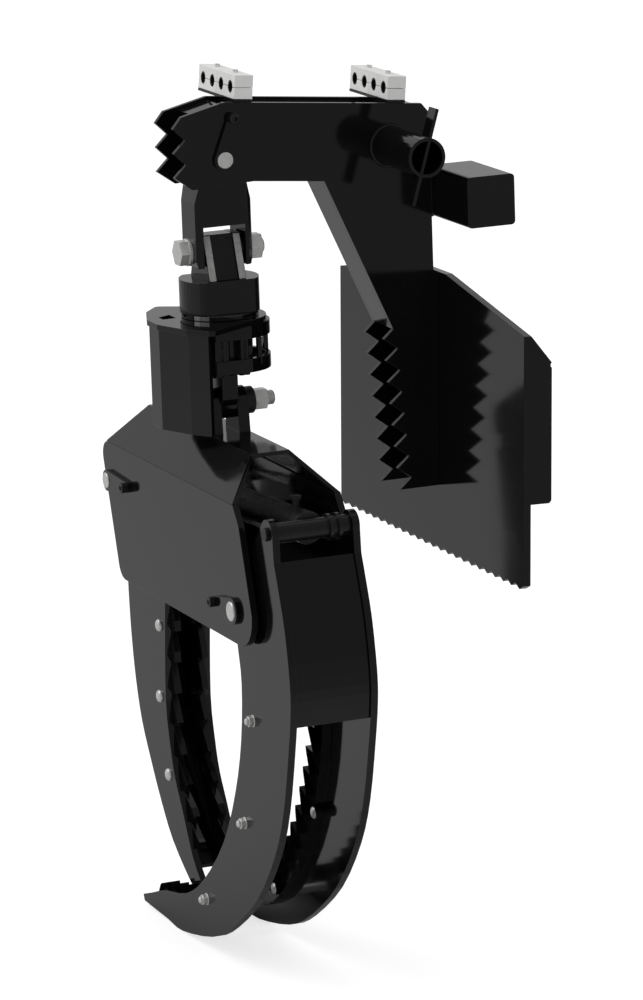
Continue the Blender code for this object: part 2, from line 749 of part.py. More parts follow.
def make_rotator(rotor):
    """Rotator body, its guard, and the eye that hangs the frame."""
    top = -flange_height - running_gap - 2 * seat_gap
    low = top - guard_top_plate
    plan = arc((0, 0), guard_ring, -64, 64, 12)
    corner = guard_side * 0.06
    far = [(-0.50 * guard_side, guard_side, corner), (-0.75 * guard_side, 0.70 * guard_side, corner),
           (-guard_back, 0.18 * guard_side, corner), (-guard_back, -0.18 * guard_side, corner),
           (-0.75 * guard_side, -0.70 * guard_side, corner), (-0.50 * guard_side, -guard_side, corner)]
    ends = [(plan[-1][0], plan[-1][1], 0)] + far + [(plan[0][0], plan[0][1], 0)]
    plan = plan[1:-1] + rounded(ends, 3)
    z = (top + low) / 2
    plate = prism("guard_top_plate", rotor, plan, "Z", guard_top_plate, (0, 0, z), paint)
    bore([plate], "Z", (0, 0), shaft_radius + 2 * running_gap, low, top, 32)
    slot = [(-guard_back * 0.80, guard_side * 0.10), (-guard_back * 0.60, guard_side * 0.10),
            (-guard_back * 0.60, guard_side * 0.36), (-guard_back * 0.80, guard_side * 0.26)]
    opening = prism_shape(slot, "Z", guard_top_plate + 2 * overrun)
    cut(plate, cutter("guard_slot", opening, rotor, (0, 0, z)))

    wall = strip_outline(guard_plan(), guard_wall)
    foot = top - guard_drop
    high = low - seat_gap
    prism("guard_wall", rotor, wall, "Z", high - foot, (0, 0, (high + foot) / 2), paint)

    body_low = high - rotor_height
    chamfer = rotor_radius * 0.08
    bottom = high - rotor_height * 0.6 - guard_top_plate
    hole = shaft_radius + running_gap
    profile = [(hole, high), (rotor_radius, high), (rotor_radius, body_low + chamfer),
               (rotor_radius - chamfer, body_low), (0, body_low), (0, bottom), (hole, bottom)]
    body = turned("rotator_body", rotor, profile, "Z", (0, 0, 0), dark_paint, 36, True)
    ports = bmesh.new()
    port = rotor_radius * 0.17
    for x in (-0.42, 0.42):
        place = (x * rotor_radius, -rotor_radius * 0.85, high - rotor_height / 2)
        turned_shape(rod_profile(port, -port * 2.2, 0), "Y", 12, False, ports, place)
    join(body, cutter("rotator_ports", ports, rotor, (0, 0, 0)))

    line = [(-strap_start, -strap_bend)] + arc((strap_shift, 0), strap_bend, -90, 90, 16)
    line += [(-strap_start, strap_bend)]
    strap = strip_outline(line, -strap_plate)
    for label, drop in (("upper", 0), ("lower", strap_drop)):
        z = high - drop - strap_height / 2
        item = prism("guard_strap_" + label, rotor, strap, "Z", strap_height, (0, 0, z), paint)
    low = high - strap_drop - strap_height / 2
    tall = strap_drop - strap_height / 2 - seat_gap
    middle = strap_bend - strap_plate / 2
    post = strap_plate * 0.45
    posts = bmesh.new()
    for angle in (-62, 0, 62):
        spot = arc((strap_shift, 0), middle, angle, angle, 1)[0]
        plan = [(spot[0] + u * post, spot[1] + v * post) for u, v in ((-1, -1), (1, -1), (1, 1), (-1, 1))]
        prism_shape(plan, "Z", tall, posts, low + tall / 2)
    join(item, cutter("guard_posts", posts, rotor, (0, 0, 0)))

    eye_top = body_low - seat_gap
    pin_z2 = top - hanger_pin_drop
    eye = [(-hanger_half, eye_top), (-hanger_half, pin_z2 + hanger_boss * 0.4)]
    eye += arc((0, pin_z2), hanger_boss, 180, 360, 12)
    eye += [(hanger_half, pin_z2 + hanger_boss * 0.4), (hanger_half, eye_top)]
    hanger = prism("rotator_hanger_eye", rotor, eye, "X", hanger_plate, (0, 0, 0), paint)
    roof_top = -frame_top + roof_rise - roof_plate / 2
    cheek = [(-hanger_boss * 1.2, roof_top), (hanger_boss * 1.2, roof_top)]
    cheek += arc((0, pin_z2), hanger_boss, 0, 180, 12)
    cheeks = bmesh.new()
    inner = hanger_plate / 2 + seat_gap
    for way in (-1, 1):
        prism_shape(cheek, "X", hanger_cheek, cheeks, way * (inner + hanger_cheek / 2))
    roof = make_roof(rotor)
    join(roof, cutter("frame_hanger_cheeks", cheeks, rotor, (0, 0, 0)))
    bore([hanger, roof], "X", (0, pin_z2), hanger_pin_radius + seat_gap, -hanger_plate * 1.2,
         hanger_plate * 1.2)
    out = inner + hanger_cheek + seat_gap
    r = hanger_pin_radius
    head = prism_shape(hexagon(3 * r), "X", 1.25 * r, None, -out - 0.625 * r)
    bolt = finish_object("hanger_bolt", head, rotor, (0, 0, pin_z2), zinc)
    washer = 1.4 * r
    nut_low = out + washer + seat_gap
    nut = 2.2 * r
    shank = turned_shape(rod_profile(r, -out - overrun, nut_low + nut + 1.35 * r), "X", 24)
    join(bolt, cutter("hanger_bolt_shank", shank, rotor, (0, 0, pin_z2)))
    ring = tube_profile(2.1 * r, r + seat_gap, out, out + washer)
    turned("hanger_washer", rotor, ring, "X", (0, 0, pin_z2), dark_steel, 28, True)
    item = prism("hanger_nut", rotor, hexagon(3 * r), "X", nut, (nut_low + nut / 2, 0, pin_z2), zinc)
    bore([item], "X", (0, pin_z2), r + seat_gap, nut_low, nut_low + nut)


def frame_side_outline():
    """Side plate of the grapple frame, across and up."""
    far, near = frame_far, frame_far - frame_length
    top, low = -frame_top, -frame_top - frame_height
    return rounded([(far, top, 0.11 * frame_height), (0.79 * far, low, 0.13 * frame_height),
                    (near, low, 0.24 * frame_height), (near, top - 0.74 * frame_height, 0),
                    (near * 0.867, top - 0.13 * frame_height, 0), (near * 0.80, top, 0)], 6)


def make_frame(rotor):
    """Side plates, roof, stretchers, pins and keepers of the frame."""
    outline = frame_side_outline()
    plates = []
    for label, x in (("left", -1), ("right", 1)):
        place = (x * (frame_width - frame_plate) / 2, 0, 0)
        plates.append(prism("frame_side_plate_" + label, rotor, outline, "X", frame_plate, place,
                            paint))
    half = frame_width / 2
    bore(plates, "X", cylinder_pin, cylinder_pin_radius + seat_gap, -half, half)
    bore(plates, "X", jaw_pin, jaw_pin_radius + seat_gap, -half, half)
    inner = frame_width - 2 * frame_plate - 2 * seat_gap
    low = -frame_top - frame_height
    far = frame_far * 0.36
    wall = [(far, low + stretcher_plate), (far, -frame_top - frame_height * 0.42)]
    prism("frame_stretcher", rotor, strip_outline(wall, stretcher_plate), "X", inner, (0, 0, 0), paint)
    for name, spot, radius, turn, reach in (
            ("cylinder_pin", cylinder_pin, cylinder_pin_radius, 87, 6.7),
            ("jaw_pin", jaw_pin, jaw_pin_radius, -90, 4.7)):
        out = half + keeper_plate + 2 * seat_gap + radius * 0.15
        place = (0, spot[0], spot[1])
        profile = rod_profile(radius, -out, half + radius * 0.3)
        turned(name, rotor, profile, "X", place, zinc, 28)
        x = -half - seat_gap - keeper_plate / 2
        lean = math.radians(turn)
        reach = reach * radius
        outline = keeper_outline(radius, keeper_bolt_radius, reach)
        place = (x, spot[0], spot[1])
        flag = prism(name + "_keeper", rotor, outline, "X", keeper_plate, place, paint, (lean, 0, 0))
        bore([flag], "X", spot, radius + seat_gap, x - keeper_plate, x + keeper_plate)
        y = spot[0] - reach * math.sin(lean)
        z = spot[1] + reach * math.cos(lean)
        place = (x - keeper_plate / 2 - seat_gap, y, z)
        screw = cap_screw_shape("X", -1)
        finish_object(name + "_keeper_bolt", screw, rotor, place, dark_steel, smooth=True)


def make_roof(rotor):
    """The roof: a flat ridge and two sloping panels, one folded plate."""
    near, far = -roof_near, roof_far
    low_near = (frame_far - frame_length) * 0.80 + roof_jaw_clear
    low_far = frame_far * 0.92
    top, low = -frame_top + roof_rise, -frame_top + seat_gap
    half = frame_width / 2 - seat_gap
    shape = bmesh.new()
    layers = []
    slope = math.atan2(roof_rise, half - roof_half)
    pull = roof_plate * math.tan(slope / 2)
    for inside in (0, 1):
        rows = []
        for near_y, far_y, x, z in ((low_near, low_far, -half, low), (near, far, -roof_half, top),
                                    (near, far, roof_half, top), (low_near, low_far, half, low)):
            side = -1 if x < 0 else 1
            if inside and abs(x) == half:
                x = side * (half - roof_plate / math.sin(slope))
            elif inside:
                x, z = side * (roof_half - pull), top - roof_plate
            rows.append([shape.verts.new((x, near_y, z)), shape.verts.new((x, far_y, z))])
        layers.append(rows)
    outer, inner = layers
    for i in range(3):
        shape.faces.new((outer[i][0], outer[i + 1][0], outer[i + 1][1], outer[i][1]))
        shape.faces.new((inner[i][0], inner[i][1], inner[i + 1][1], inner[i + 1][0]))
        for end in (0, 1):
            shape.faces.new((outer[i][end], outer[i + 1][end], inner[i + 1][end], inner[i][end]))
    for i in (0, 3):
        shape.faces.new((outer[i][0], outer[i][1], inner[i][1], inner[i][0]))
    return finish_object("frame_roof", shape, rotor, (0, 0, 0), paint)


# Fixed jaw edges, from the frame to the tip, in shares of the fixed jaw's drop
fixed_outer_shares = ((0.345, -0.400), (0.363, -0.490), (0.3634, -0.549), (0.358, -0.616),
                      (0.3466, -0.683), (0.3267, -0.747), (0.292, -0.807), (0.252, -0.867),
                      (0.204, -0.924), (0.1277, -0.977), (0.0775, -1.000))
fixed_inner_shares = ((0.072, -0.974), (0.1148, -0.930), (0.154, -0.860), (0.1816, -0.8126),
                      (0.1973, -0.7634), (0.210, -0.686), (0.199, -0.551), (0.190, -0.487))

# Moving jaw edges, from the rod pin to the tip, in shares of the moving jaw's drop
moving_outer_shares = ((-0.202, 0.160), (-0.223, 0.104), (-0.257, 0.002), (-0.279, -0.129),
                       (-0.277, -0.211), (-0.255, -0.315), (-0.207, -0.483), (-0.138, -0.616),
                       (-0.005, -0.767), (0.179, -0.893), (0.325, -0.957), (0.543, -1.000),
                       (0.651, -0.996), (0.823, -0.991))
moving_inner_shares = ((0.830, -0.974), (0.767, -0.954), (0.668, -0.921), (0.503, -0.885),
                       (0.371, -0.812), (0.219, -0.673), (0.120, -0.510), (0.066, -0.359),
                       (0.048, -0.205), (0.066, -0.105))


def strip_outline_with_teeth(edge, start, end, form):
    """A toothed strip along a jaw's inner edge, with the jaw's metal on its right."""
    spacing, width, proud, depth, crest, lead, taper = form
    run = curve_length(edge)
    first, last = start * run, end * run
    count = round((last - first) / spacing + lead)
    pitch = (last - first) / (count - lead)
    front, back = [], []
    for i in range(count + 1):
        here = first + (i - lead) * pitch
        spot, way = walk(edge, max(first, here))
        side = Vector((way.y, -way.x))
        if here >= first:
            front.append(tuple(spot + side * (depth - proud)))
        if i < count:
            rise = max(first, here + 0.10 * pitch)
            tip = spot - side * proud + way * (rise - max(first, here))
            front.append(tuple(tip))
            front.append(tuple(tip + way * (here + (0.10 + crest) * pitch - rise) + side * (0.08 * pitch)))
        narrow = 1 - taper * max(0, i / count - 0.6) / 0.4
        back.append(tuple(spot + side * width * narrow))
    return front + back[::-1]


def make_strips(name, body, edge, span, shares, plates, half, plate, thick, form):
    """The toothed strips inside a pair of jaw plates, each with the bolts that hold it."""
    outline = strip_outline_with_teeth(edge, *span, form)
    inset = form[1] * (0.65 if form[5] else 0.42)
    spots = []
    for share in shares:
        spot, way = walk(edge, share * curve_length(edge))
        side = Vector((way.y, -way.x))
        spots.append(tuple(spot + side * inset))
    rim = half - plate - seat_gap
    r = jaw_bolt_radius
    for label, way in (("left", -1), ("right", 1)):
        place = (way * (rim - thick / 2), 0, 0)
        item = prism(name + "_" + label, body, outline, "X", thick, place, paint)
        low = way * (rim - thick - 0.6 * r)
        seat = way * (half + seat_gap)
        profile = [(0, low), (r, low), (r, seat), (1.5 * r, seat), (1.25 * r, seat + way * 0.5 * r),
                   (0.6 * r, seat + way * 0.75 * r), (0, seat + way * 0.8 * r)]
        studs = bmesh.new()
        for y, z in spots:
            turned_shape(profile, "X", 14, False, studs, (0, y, z))
        join(item, cutter(name + "_bolts_" + label, studs, body, (0, 0, 0)))
    drill = r + seat_gap
    holes = bmesh.new()
    for y, z in spots:
        pipe = [(0, -half - r), (drill, -half - r), (drill, half + r), (0, half + r)]
        turned_shape(pipe, "X", 14, False, holes, (0, y, z))
    tool = cutter(name + "_drills", holes, body, (0, 0, 0))
    for item in plates:
        cut(item, tool)


def make_fixed_jaw(rotor):
    """Two curved plates from the cylinder pin down, their strips and a back panel."""
    drop = fixed_jaw_drop
    outer = flow(scaled(fixed_outer_shares, drop))
    inner = flow(scaled(fixed_inner_shares, drop))
    pin_y, pin_h = cylinder_pin
    boss = 1.9 * cylinder_pin_radius
    root = [(inner[-1][0] - 0.06 * drop, -frame_top - 0.90 * frame_height),
            (0.50 * pin_y, -frame_top - 0.55 * frame_height)]
    outline = outer + inner + root + arc((pin_y, pin_h), boss, 150, 0, 10)
    half = fixed_jaw_width / 2
    plates = []
    for label, x in (("left", -1), ("right", 1)):
        place = (x * (half - fixed_jaw_plate / 2), 0, 0)
        plates.append(prism("fixed_jaw_plate_" + label, rotor, outline, "X", fixed_jaw_plate,
                            place, paint))
    bore(plates, "X", cylinder_pin, cylinder_pin_radius + seat_gap, -half, half)
    form = (fixed_tooth_pitch, fixed_strip_width, fixed_strip_proud, fixed_tooth_depth, 0.30, 0.27, 0)
    make_strips("fixed_jaw_tooth_strip", rotor, inner, (0.15, 0.95), (0.393, 0.622, 0.853), plates,
                half, fixed_jaw_plate, fixed_strip_plate, form)
    panel = [(y - jaw_panel * 0.4, z) for y, z in outer[3:-4]]
    prism("fixed_jaw_back_panel", rotor, strip_outline(panel, jaw_panel), "X",
          2 * (half - fixed_jaw_plate - seat_gap), (0, 0, 0), paint)


def make_moving_jaw(jaw):
    """Two curved plates on a hub, joined by a back panel, with toothed strips inside."""
    drop = moving_jaw_drop
    outer = flow(scaled(moving_outer_shares, drop))
    inner = flow(scaled(moving_inner_shares, drop))
    crown = arc((0, 0), jaw_hub_radius * 1.75, -15, 62, 6)
    top = arc(rod_pin, rod_boss, 35, 190, 9)
    outline = outer + inner + crown + top
    half = moving_jaw_width / 2
    plates = []
    for label, x in (("left", -1), ("right", 1)):
        place = (x * (half - moving_jaw_plate / 2), 0, 0)
        plates.append(prism("moving_jaw_plate_" + label, jaw, outline, "X", moving_jaw_plate,
                            place, paint))
    inner_half = half - moving_jaw_plate - seat_gap
    hub = jaw_pin_radius + running_gap
    bore(plates, "X", (0, 0), jaw_hub_radius + seat_gap, -half, half, 32)
    bore(plates, "X", rod_pin, barrel_pin_radius + seat_gap, -half, half)
    reach = frame_width / 2 - frame_plate - running_gap
    turned("jaw_hub", jaw, tube_profile(jaw_hub_radius, hub, -reach, reach), "X", (0, 0, 0),
           dark_paint, 32, True)

    edge = inner[::-1]
    form = (strip_tooth_pitch, strip_width, strip_proud, strip_tooth_depth, 0.18, 0, 0.62)
    make_strips("moving_jaw_tooth_strip", jaw, edge, (0.13, 0.97), (0.16, 0.40, 0.72), plates,
                half, moving_jaw_plate, strip_plate, form)
    foot = Vector(outer[13]).lerp(Vector(outer[14]), 0.3)
    line = [(y + jaw_panel * 0.5, z) for y, z in outer[0:14] + [tuple(foot)]]
    prism("moving_jaw_back_panel", jaw, strip_outline(line, -jaw_panel), "X", 2 * inner_half,
          (0, 0, 0), paint)

    spot, way = walk(edge, 0.72 * curve_length(edge))
    spot += Vector((way.y, -way.x)) * (strip_width * 0.5)
    reach = inner_half - strip_plate - 0.6 * jaw_bolt_radius - seat_gap
    profile = rod_profile(spacer_radius, -reach, reach)
    turned("jaw_spacer_rod", jaw, profile, "X", (0, spot.x, spot.y), zinc, 16)
    out = half + frame_plate * 0.5
    profile = rod_profile(barrel_pin_radius, -out, half + barrel_pin_radius * 0.2)
    turned("rod_pin", jaw, profile, "X", (0, rod_pin[0], rod_pin[1]), dark_steel, 24)


def make_cylinder(barrel, rod, way):
    """Barrel on the jaw, rod on the frame. The way is the cylinder's direction to its rod eye."""
    lean = math.atan2(way.z, way.y)
    turn = (lean, 0, 0)
    half = moving_jaw_width / 2 - moving_jaw_plate - running_gap
    length = curve_length([(0, 0), (way.y, way.z)])
    hole = barrel_pin_radius + running_gap
    hole = barrel_pin_radius + running_gap
    collar, thick = barrel_tube_radius * 1.28, barrel_pin_radius * 0.6
    profile = [(0, -half), (barrel_tube_radius, -half)]
    for share in (0.42, 0.66):
        profile += [(barrel_tube_radius, share * half), (collar, share * half),
                    (collar, share * half + thick), (barrel_tube_radius, share * half + thick)]
    profile += [(barrel_tube_radius, half), (0, half)]
    tube = turned_shape(profile, "X", 28)
    base = barrel_radius * 0.24
    inner = barrel_radius - barrel_wall
    edge = barrel_radius * 0.08
    gland = barrel_length - gland_length
    profile = [(0, base), (barrel_radius - edge, base), (barrel_radius, base + edge),
               (barrel_radius, gland), (inner, gland), (inner, barrel_tube_radius * 2),
               (0, barrel_tube_radius * 2)]
    item = turned("cylinder_barrel", barrel, profile, "Y", (0, 0, 0), dark_paint, 32, False, turn)
    join(item, cutter("barrel_cross_tube", tube, barrel, (0, 0, 0)))
    low, high = gland + seat_gap, barrel_length
    profile = [(rod_radius + running_gap, low), (barrel_radius * 1.06, low),
               (barrel_radius * 1.06, high - edge), (barrel_radius, high),
               (rod_radius + running_gap, high)]
    turned("cylinder_gland", barrel, profile, "Y", (0, 0, 0), dark_steel, 32, True, turn)
    ports = bmesh.new()
    r = barrel_pin_radius * 0.62
    for share in (0.13, 0.86):
        spot = share * barrel_length
        root = barrel_radius - barrel_wall / 2
        stem = [(0, root), (r, root), (r, barrel_radius + 2.0 * r), (1.5 * r, barrel_radius + 2.0 * r),
                (1.5 * r, barrel_radius + 2.9 * r), (0, barrel_radius + 2.9 * r)]
        turned_shape(stem, "Z", 12, False, ports, (0, spot, 0))
    join(item, cutter("cylinder_ports", ports, barrel, (0, 0, 0), turn))
    bore([item], "X", (0, 0), hole, -half, half)

    eye_start = length - eye_radius * 0.8
    piston = barrel_length - gland_length - piston_length * 1.6
    bore_radius = inner - running_gap
    profile = [(0, piston), (bore_radius, piston), (bore_radius, piston + piston_length),
               (rod_radius, piston + piston_length), (rod_radius, eye_start), (0, eye_start)]
    profile = [(radius, height - length) for radius, height in profile]
    item = turned("cylinder_rod", rod, profile, "Y", (0, 0, 0), chrome, 28, False, turn)
    wide = eye_width / 2
    eye = turned_shape([(0, -wide), (eye_radius, -wide), (eye_radius, wide), (0, wide)], "X", 32)
    join(item, cutter("cylinder_rod_eye", eye, rod, (0, 0, 0)))
    bore([item], "X", (0, 0), cylinder_pin_radius + eye_play, -wide, wide)


clear_scene()
paint = make_finish("black gloss paint", (0.012, 0.012, 0.013), 0.22, 0.0)
dark_paint = make_finish("black satin paint", (0.010, 0.010, 0.011), 0.35, 0.0)
dark_steel = make_finish("blackened steel", (0.05, 0.05, 0.052), 0.40, 0.8)
zinc = make_finish("zinc plated steel", (0.62, 0.62, 0.60), 0.35, 0.9)
chrome = make_finish("hard chrome", (0.70, 0.70, 0.71), 0.12, 1.0)
aluminium = make_finish("cast aluminium", (0.80, 0.80, 0.80), 0.45, 0.2)

arm_body = pivot("arm", (0, 0, 0))
link_body = pivot("link_swing", (pin_x, 0, pin_z), arm_body)
head_body = pivot("head_swing", (0, 0, -head_pin_drop), link_body)
head_foot = head_top + head_height
rotor_body = pivot("rotator_turn", (0, 0, -(head_foot - head_pin_drop)), head_body)
jaw_body = pivot("jaw_open", (0, jaw_pin[0], jaw_pin[1]), rotor_body)
barrel_body = pivot("barrel_swing", (0, rod_pin[0], rod_pin[1]), jaw_body)
to_eye = Vector((0, cylinder_pin[0] - jaw_pin[0] - rod_pin[0], cylinder_pin[1] - jaw_pin[1] - rod_pin[1]))
rod_body = pivot("rod_slide", to_eye, barrel_body)

make_arm(arm_body)
make_butt(arm_body)
make_tubes(arm_body)
make_clamps(arm_body)
make_link_pin(arm_body)
make_link(link_body)
make_head(head_body)
make_rotator(rotor_body)
make_frame(rotor_body)
make_fixed_jaw(rotor_body)
make_moving_jaw(jaw_body)
make_cylinder(barrel_body, rod_body, to_eye)
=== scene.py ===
import json
import math

import bmesh
import bpy
from mathutils import Matrix, Vector


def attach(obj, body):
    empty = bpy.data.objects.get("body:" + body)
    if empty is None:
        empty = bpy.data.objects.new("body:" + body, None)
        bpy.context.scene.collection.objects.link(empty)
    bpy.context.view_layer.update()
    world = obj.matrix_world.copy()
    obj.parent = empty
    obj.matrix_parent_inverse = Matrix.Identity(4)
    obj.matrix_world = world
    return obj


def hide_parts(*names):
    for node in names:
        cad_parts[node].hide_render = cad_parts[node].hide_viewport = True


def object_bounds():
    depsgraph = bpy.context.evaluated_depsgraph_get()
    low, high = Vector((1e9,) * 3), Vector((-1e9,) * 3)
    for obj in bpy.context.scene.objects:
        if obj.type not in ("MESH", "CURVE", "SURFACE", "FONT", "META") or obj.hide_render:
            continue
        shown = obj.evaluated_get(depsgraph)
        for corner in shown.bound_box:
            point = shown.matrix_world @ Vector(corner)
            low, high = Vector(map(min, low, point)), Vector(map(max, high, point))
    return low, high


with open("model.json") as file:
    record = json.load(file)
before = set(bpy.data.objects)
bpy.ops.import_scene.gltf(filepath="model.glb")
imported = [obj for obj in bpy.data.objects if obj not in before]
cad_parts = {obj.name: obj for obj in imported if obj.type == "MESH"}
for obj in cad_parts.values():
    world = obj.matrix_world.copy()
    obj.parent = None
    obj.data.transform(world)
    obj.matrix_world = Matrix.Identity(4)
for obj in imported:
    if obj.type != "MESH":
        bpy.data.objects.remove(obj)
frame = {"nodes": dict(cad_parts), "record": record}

print("frame loaded:", len(frame["nodes"]), "nodes")
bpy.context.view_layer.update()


# small helpers for node trees

def newGroup(name, inputs, outputs):
    group = bpy.data.node_groups.new(name, "ShaderNodeTree")
    for label, kind, value in inputs:
        socket = group.interface.new_socket(label, in_out="INPUT", socket_type=kind)
        if value is not None:
            socket.default_value = value
    for label, kind in outputs:
        group.interface.new_socket(label, in_out="OUTPUT", socket_type=kind)
    return group, group.nodes.new("NodeGroupInput"), group.nodes.new("NodeGroupOutput")


def addNode(tree, kind, settings=None, **values):
    node = tree.nodes.new(kind)
    for key, value in (settings or {}).items():
        setattr(node, key, value)
    for key, value in values.items():
        node.inputs[key.replace("_", " ")].default_value = value
    return node


def mathNode(tree, operation, a, b=None, c=None):
    node = addNode(tree, "ShaderNodeMath", {"operation": operation})
    for place, value in enumerate((a, b, c)):
        if value is None:
            continue
        if isinstance(value, bpy.types.NodeSocket):
            tree.links.new(value, node.inputs[place])
        else:
            node.inputs[place].default_value = value
    return node.outputs[0]


def remap(tree, value, low, high, toLow, toHigh, smooth=False):
    node = addNode(tree, "ShaderNodeMapRange", {"interpolation_type": "SMOOTHSTEP" if smooth else "LINEAR"})
    tree.links.new(value, node.inputs["Value"])
    for key, amount in (("From Min", low), ("From Max", high), ("To Min", toLow), ("To Max", toHigh)):
        if isinstance(amount, bpy.types.NodeSocket):
            tree.links.new(amount, node.inputs[key])
        else:
            node.inputs[key].default_value = amount
    return node.outputs["Result"]


def blendColour(tree, mask, first, second):
    node = addNode(tree, "ShaderNodeMix", {"data_type": "RGBA"})
    tree.links.new(mask, node.inputs["Factor"])
    for socket, value in ((node.inputs[6], first), (node.inputs[7], second)):
        if isinstance(value, bpy.types.NodeSocket):
            tree.links.new(value, socket)
        else:
            socket.default_value = (*value, 1)
    return node.outputs[2]


# effects that several finishes share

edgeBand = {"samples": 6, "bend": (0.02, 0.22), "noise": (0.42, 0.66), "detail": 4.0, "rough": 0.6}
grainNoise = {"fineDetail": 2.0, "broadDetail": 5.0, "rough": 0.55, "spread": (0.3, 0.7)}
dustCloud = {"upward": (0.35, 1.0), "noise": (0.40, 0.70), "least": 0.15, "detail": 6.0, "rough": 0.7}


def makeEdgeWear():
    group, inside, outside = newGroup(
        "edgeWear",
        [("Radius", "NodeSocketFloat", 0.001), ("Patch Scale", "NodeSocketFloat", 40.0),
         ("Amount", "NodeSocketFloat", 0.5)],
        [("Mask", "NodeSocketFloat"), ("Normal", "NodeSocketVector")])
    bevel = addNode(group, "ShaderNodeBevel", {"samples": edgeBand["samples"]})
    group.links.new(inside.outputs["Radius"], bevel.inputs["Radius"])
    geometry = addNode(group, "ShaderNodeNewGeometry")
    dot = addNode(group, "ShaderNodeVectorMath", {"operation": "DOT_PRODUCT"})
    group.links.new(bevel.outputs["Normal"], dot.inputs[0])
    group.links.new(geometry.outputs["True Normal"], dot.inputs[1])
    bend = mathNode(group, "SUBTRACT", 1.0, dot.outputs["Value"])
    edge = remap(group, bend, *edgeBand["bend"], 0.0, 1.0, True)
    place = addNode(group, "ShaderNodeTexCoord")
    noise = addNode(group, "ShaderNodeTexNoise", Detail=edgeBand["detail"], Roughness=edgeBand["rough"])
    group.links.new(place.outputs["Object"], noise.inputs["Vector"])
    group.links.new(inside.outputs["Patch Scale"], noise.inputs["Scale"])
    patch = remap(group, noise.outputs["Fac"], *edgeBand["noise"], 0.0, 1.0, True)
    worn = mathNode(group, "MULTIPLY", edge, patch)
    worn = mathNode(group, "MULTIPLY", worn, inside.outputs["Amount"])
    group.links.new(worn, outside.inputs["Mask"])
    group.links.new(bevel.outputs["Normal"], outside.inputs["Normal"])
    return group


def makeGrain():
    group, inside, outside = newGroup(
        "surfaceGrain",
        [("Fine Scale", "NodeSocketFloat", 900.0), ("Broad Scale", "NodeSocketFloat", 12.0)],
        [("Height", "NodeSocketFloat"), ("Broad", "NodeSocketFloat")])
    place = addNode(group, "ShaderNodeTexCoord")
    for label, scale, target in (("fine", "Fine Scale", "Height"), ("broad", "Broad Scale", "Broad")):
        noise = addNode(group, "ShaderNodeTexNoise", Detail=grainNoise[label + "Detail"],
                        Roughness=grainNoise["rough"])
        noise.label = label
        group.links.new(place.outputs["Object"], noise.inputs["Vector"])
        group.links.new(inside.outputs[scale], noise.inputs["Scale"])
        group.links.new(noise.outputs["Fac"], outside.inputs[target])
    return group


def makeDust():
    group, inside, outside = newGroup(
        "settledDust",
        [("Amount", "NodeSocketFloat", 0.2), ("Scale", "NodeSocketFloat", 60.0)],
        [("Mask", "NodeSocketFloat")])
    geometry = addNode(group, "ShaderNodeNewGeometry")
    split = addNode(group, "ShaderNodeSeparateXYZ")
    group.links.new(geometry.outputs["True Normal"], split.inputs[0])
    upward = remap(group, split.outputs["Z"], *dustCloud["upward"], 0.0, 1.0, True)
    place = addNode(group, "ShaderNodeTexCoord")
    noise = addNode(group, "ShaderNodeTexNoise", Detail=dustCloud["detail"], Roughness=dustCloud["rough"])
    group.links.new(place.outputs["Object"], noise.inputs["Vector"])
    group.links.new(inside.outputs["Scale"], noise.inputs["Scale"])
    cloud = remap(group, noise.outputs["Fac"], *dustCloud["noise"], dustCloud["least"], 1.0)
    mask = mathNode(group, "MULTIPLY", upward, cloud)
    mask = mathNode(group, "MULTIPLY", mask, inside.outputs["Amount"])
    group.links.new(mask, outside.inputs["Mask"])
    return group


edgeWear = makeEdgeWear()
surfaceGrain = makeGrain()
settledDust = makeDust()


def placeGroup(tree, group, **values):
    node = tree.nodes.new("ShaderNodeGroup")
    node.node_tree = group
    for key, value in values.items():
        node.inputs[key.replace("_", " ")].default_value = value
    return node


finishIor = 1.5


def makeFinish(name, look):
    material = bpy.data.materials.new(name)
    material.use_nodes = True
    tree = material.node_tree
    shader = tree.nodes["Principled BSDF"]
    wear = placeGroup(tree, edgeWear, Radius=look["edge"], Patch_Scale=look["patch"], Amount=look["wear"])
    grain = placeGroup(tree, surfaceGrain, Fine_Scale=look["fine"], Broad_Scale=look["broad"])
    dust = placeGroup(tree, settledDust, Amount=look["dust"], Scale=look["dustScale"])
    broad = grain.outputs["Broad"]
    tone = remap(tree, broad, *grainNoise["spread"], 0.0, 1.0)
    colour = blendColour(tree, tone, look["dark"], look["light"])
    colour = blendColour(tree, wear.outputs["Mask"], colour, look["worn"])
    colour = blendColour(tree, dust.outputs["Mask"], colour, look["dusty"])
    tree.links.new(colour, shader.inputs["Base Color"])
    rough = remap(tree, broad, *grainNoise["spread"], *look["rough"])
    lift = mathNode(tree, "MULTIPLY", dust.outputs["Mask"], look["dustRough"])
    tree.links.new(mathNode(tree, "ADD", rough, lift), shader.inputs["Roughness"])
    bump = addNode(tree, "ShaderNodeBump", Strength=look["bump"], Distance=look["depth"])
    tree.links.new(grain.outputs["Height"], bump.inputs["Height"])
    tree.links.new(wear.outputs["Normal"], bump.inputs["Normal"])
    tree.links.new(bump.outputs["Normal"], shader.inputs["Normal"])
    shader.inputs["Metallic"].default_value = look["metal"]
    shader.inputs["IOR"].default_value = finishIor
    return material


# finishes, linear colours

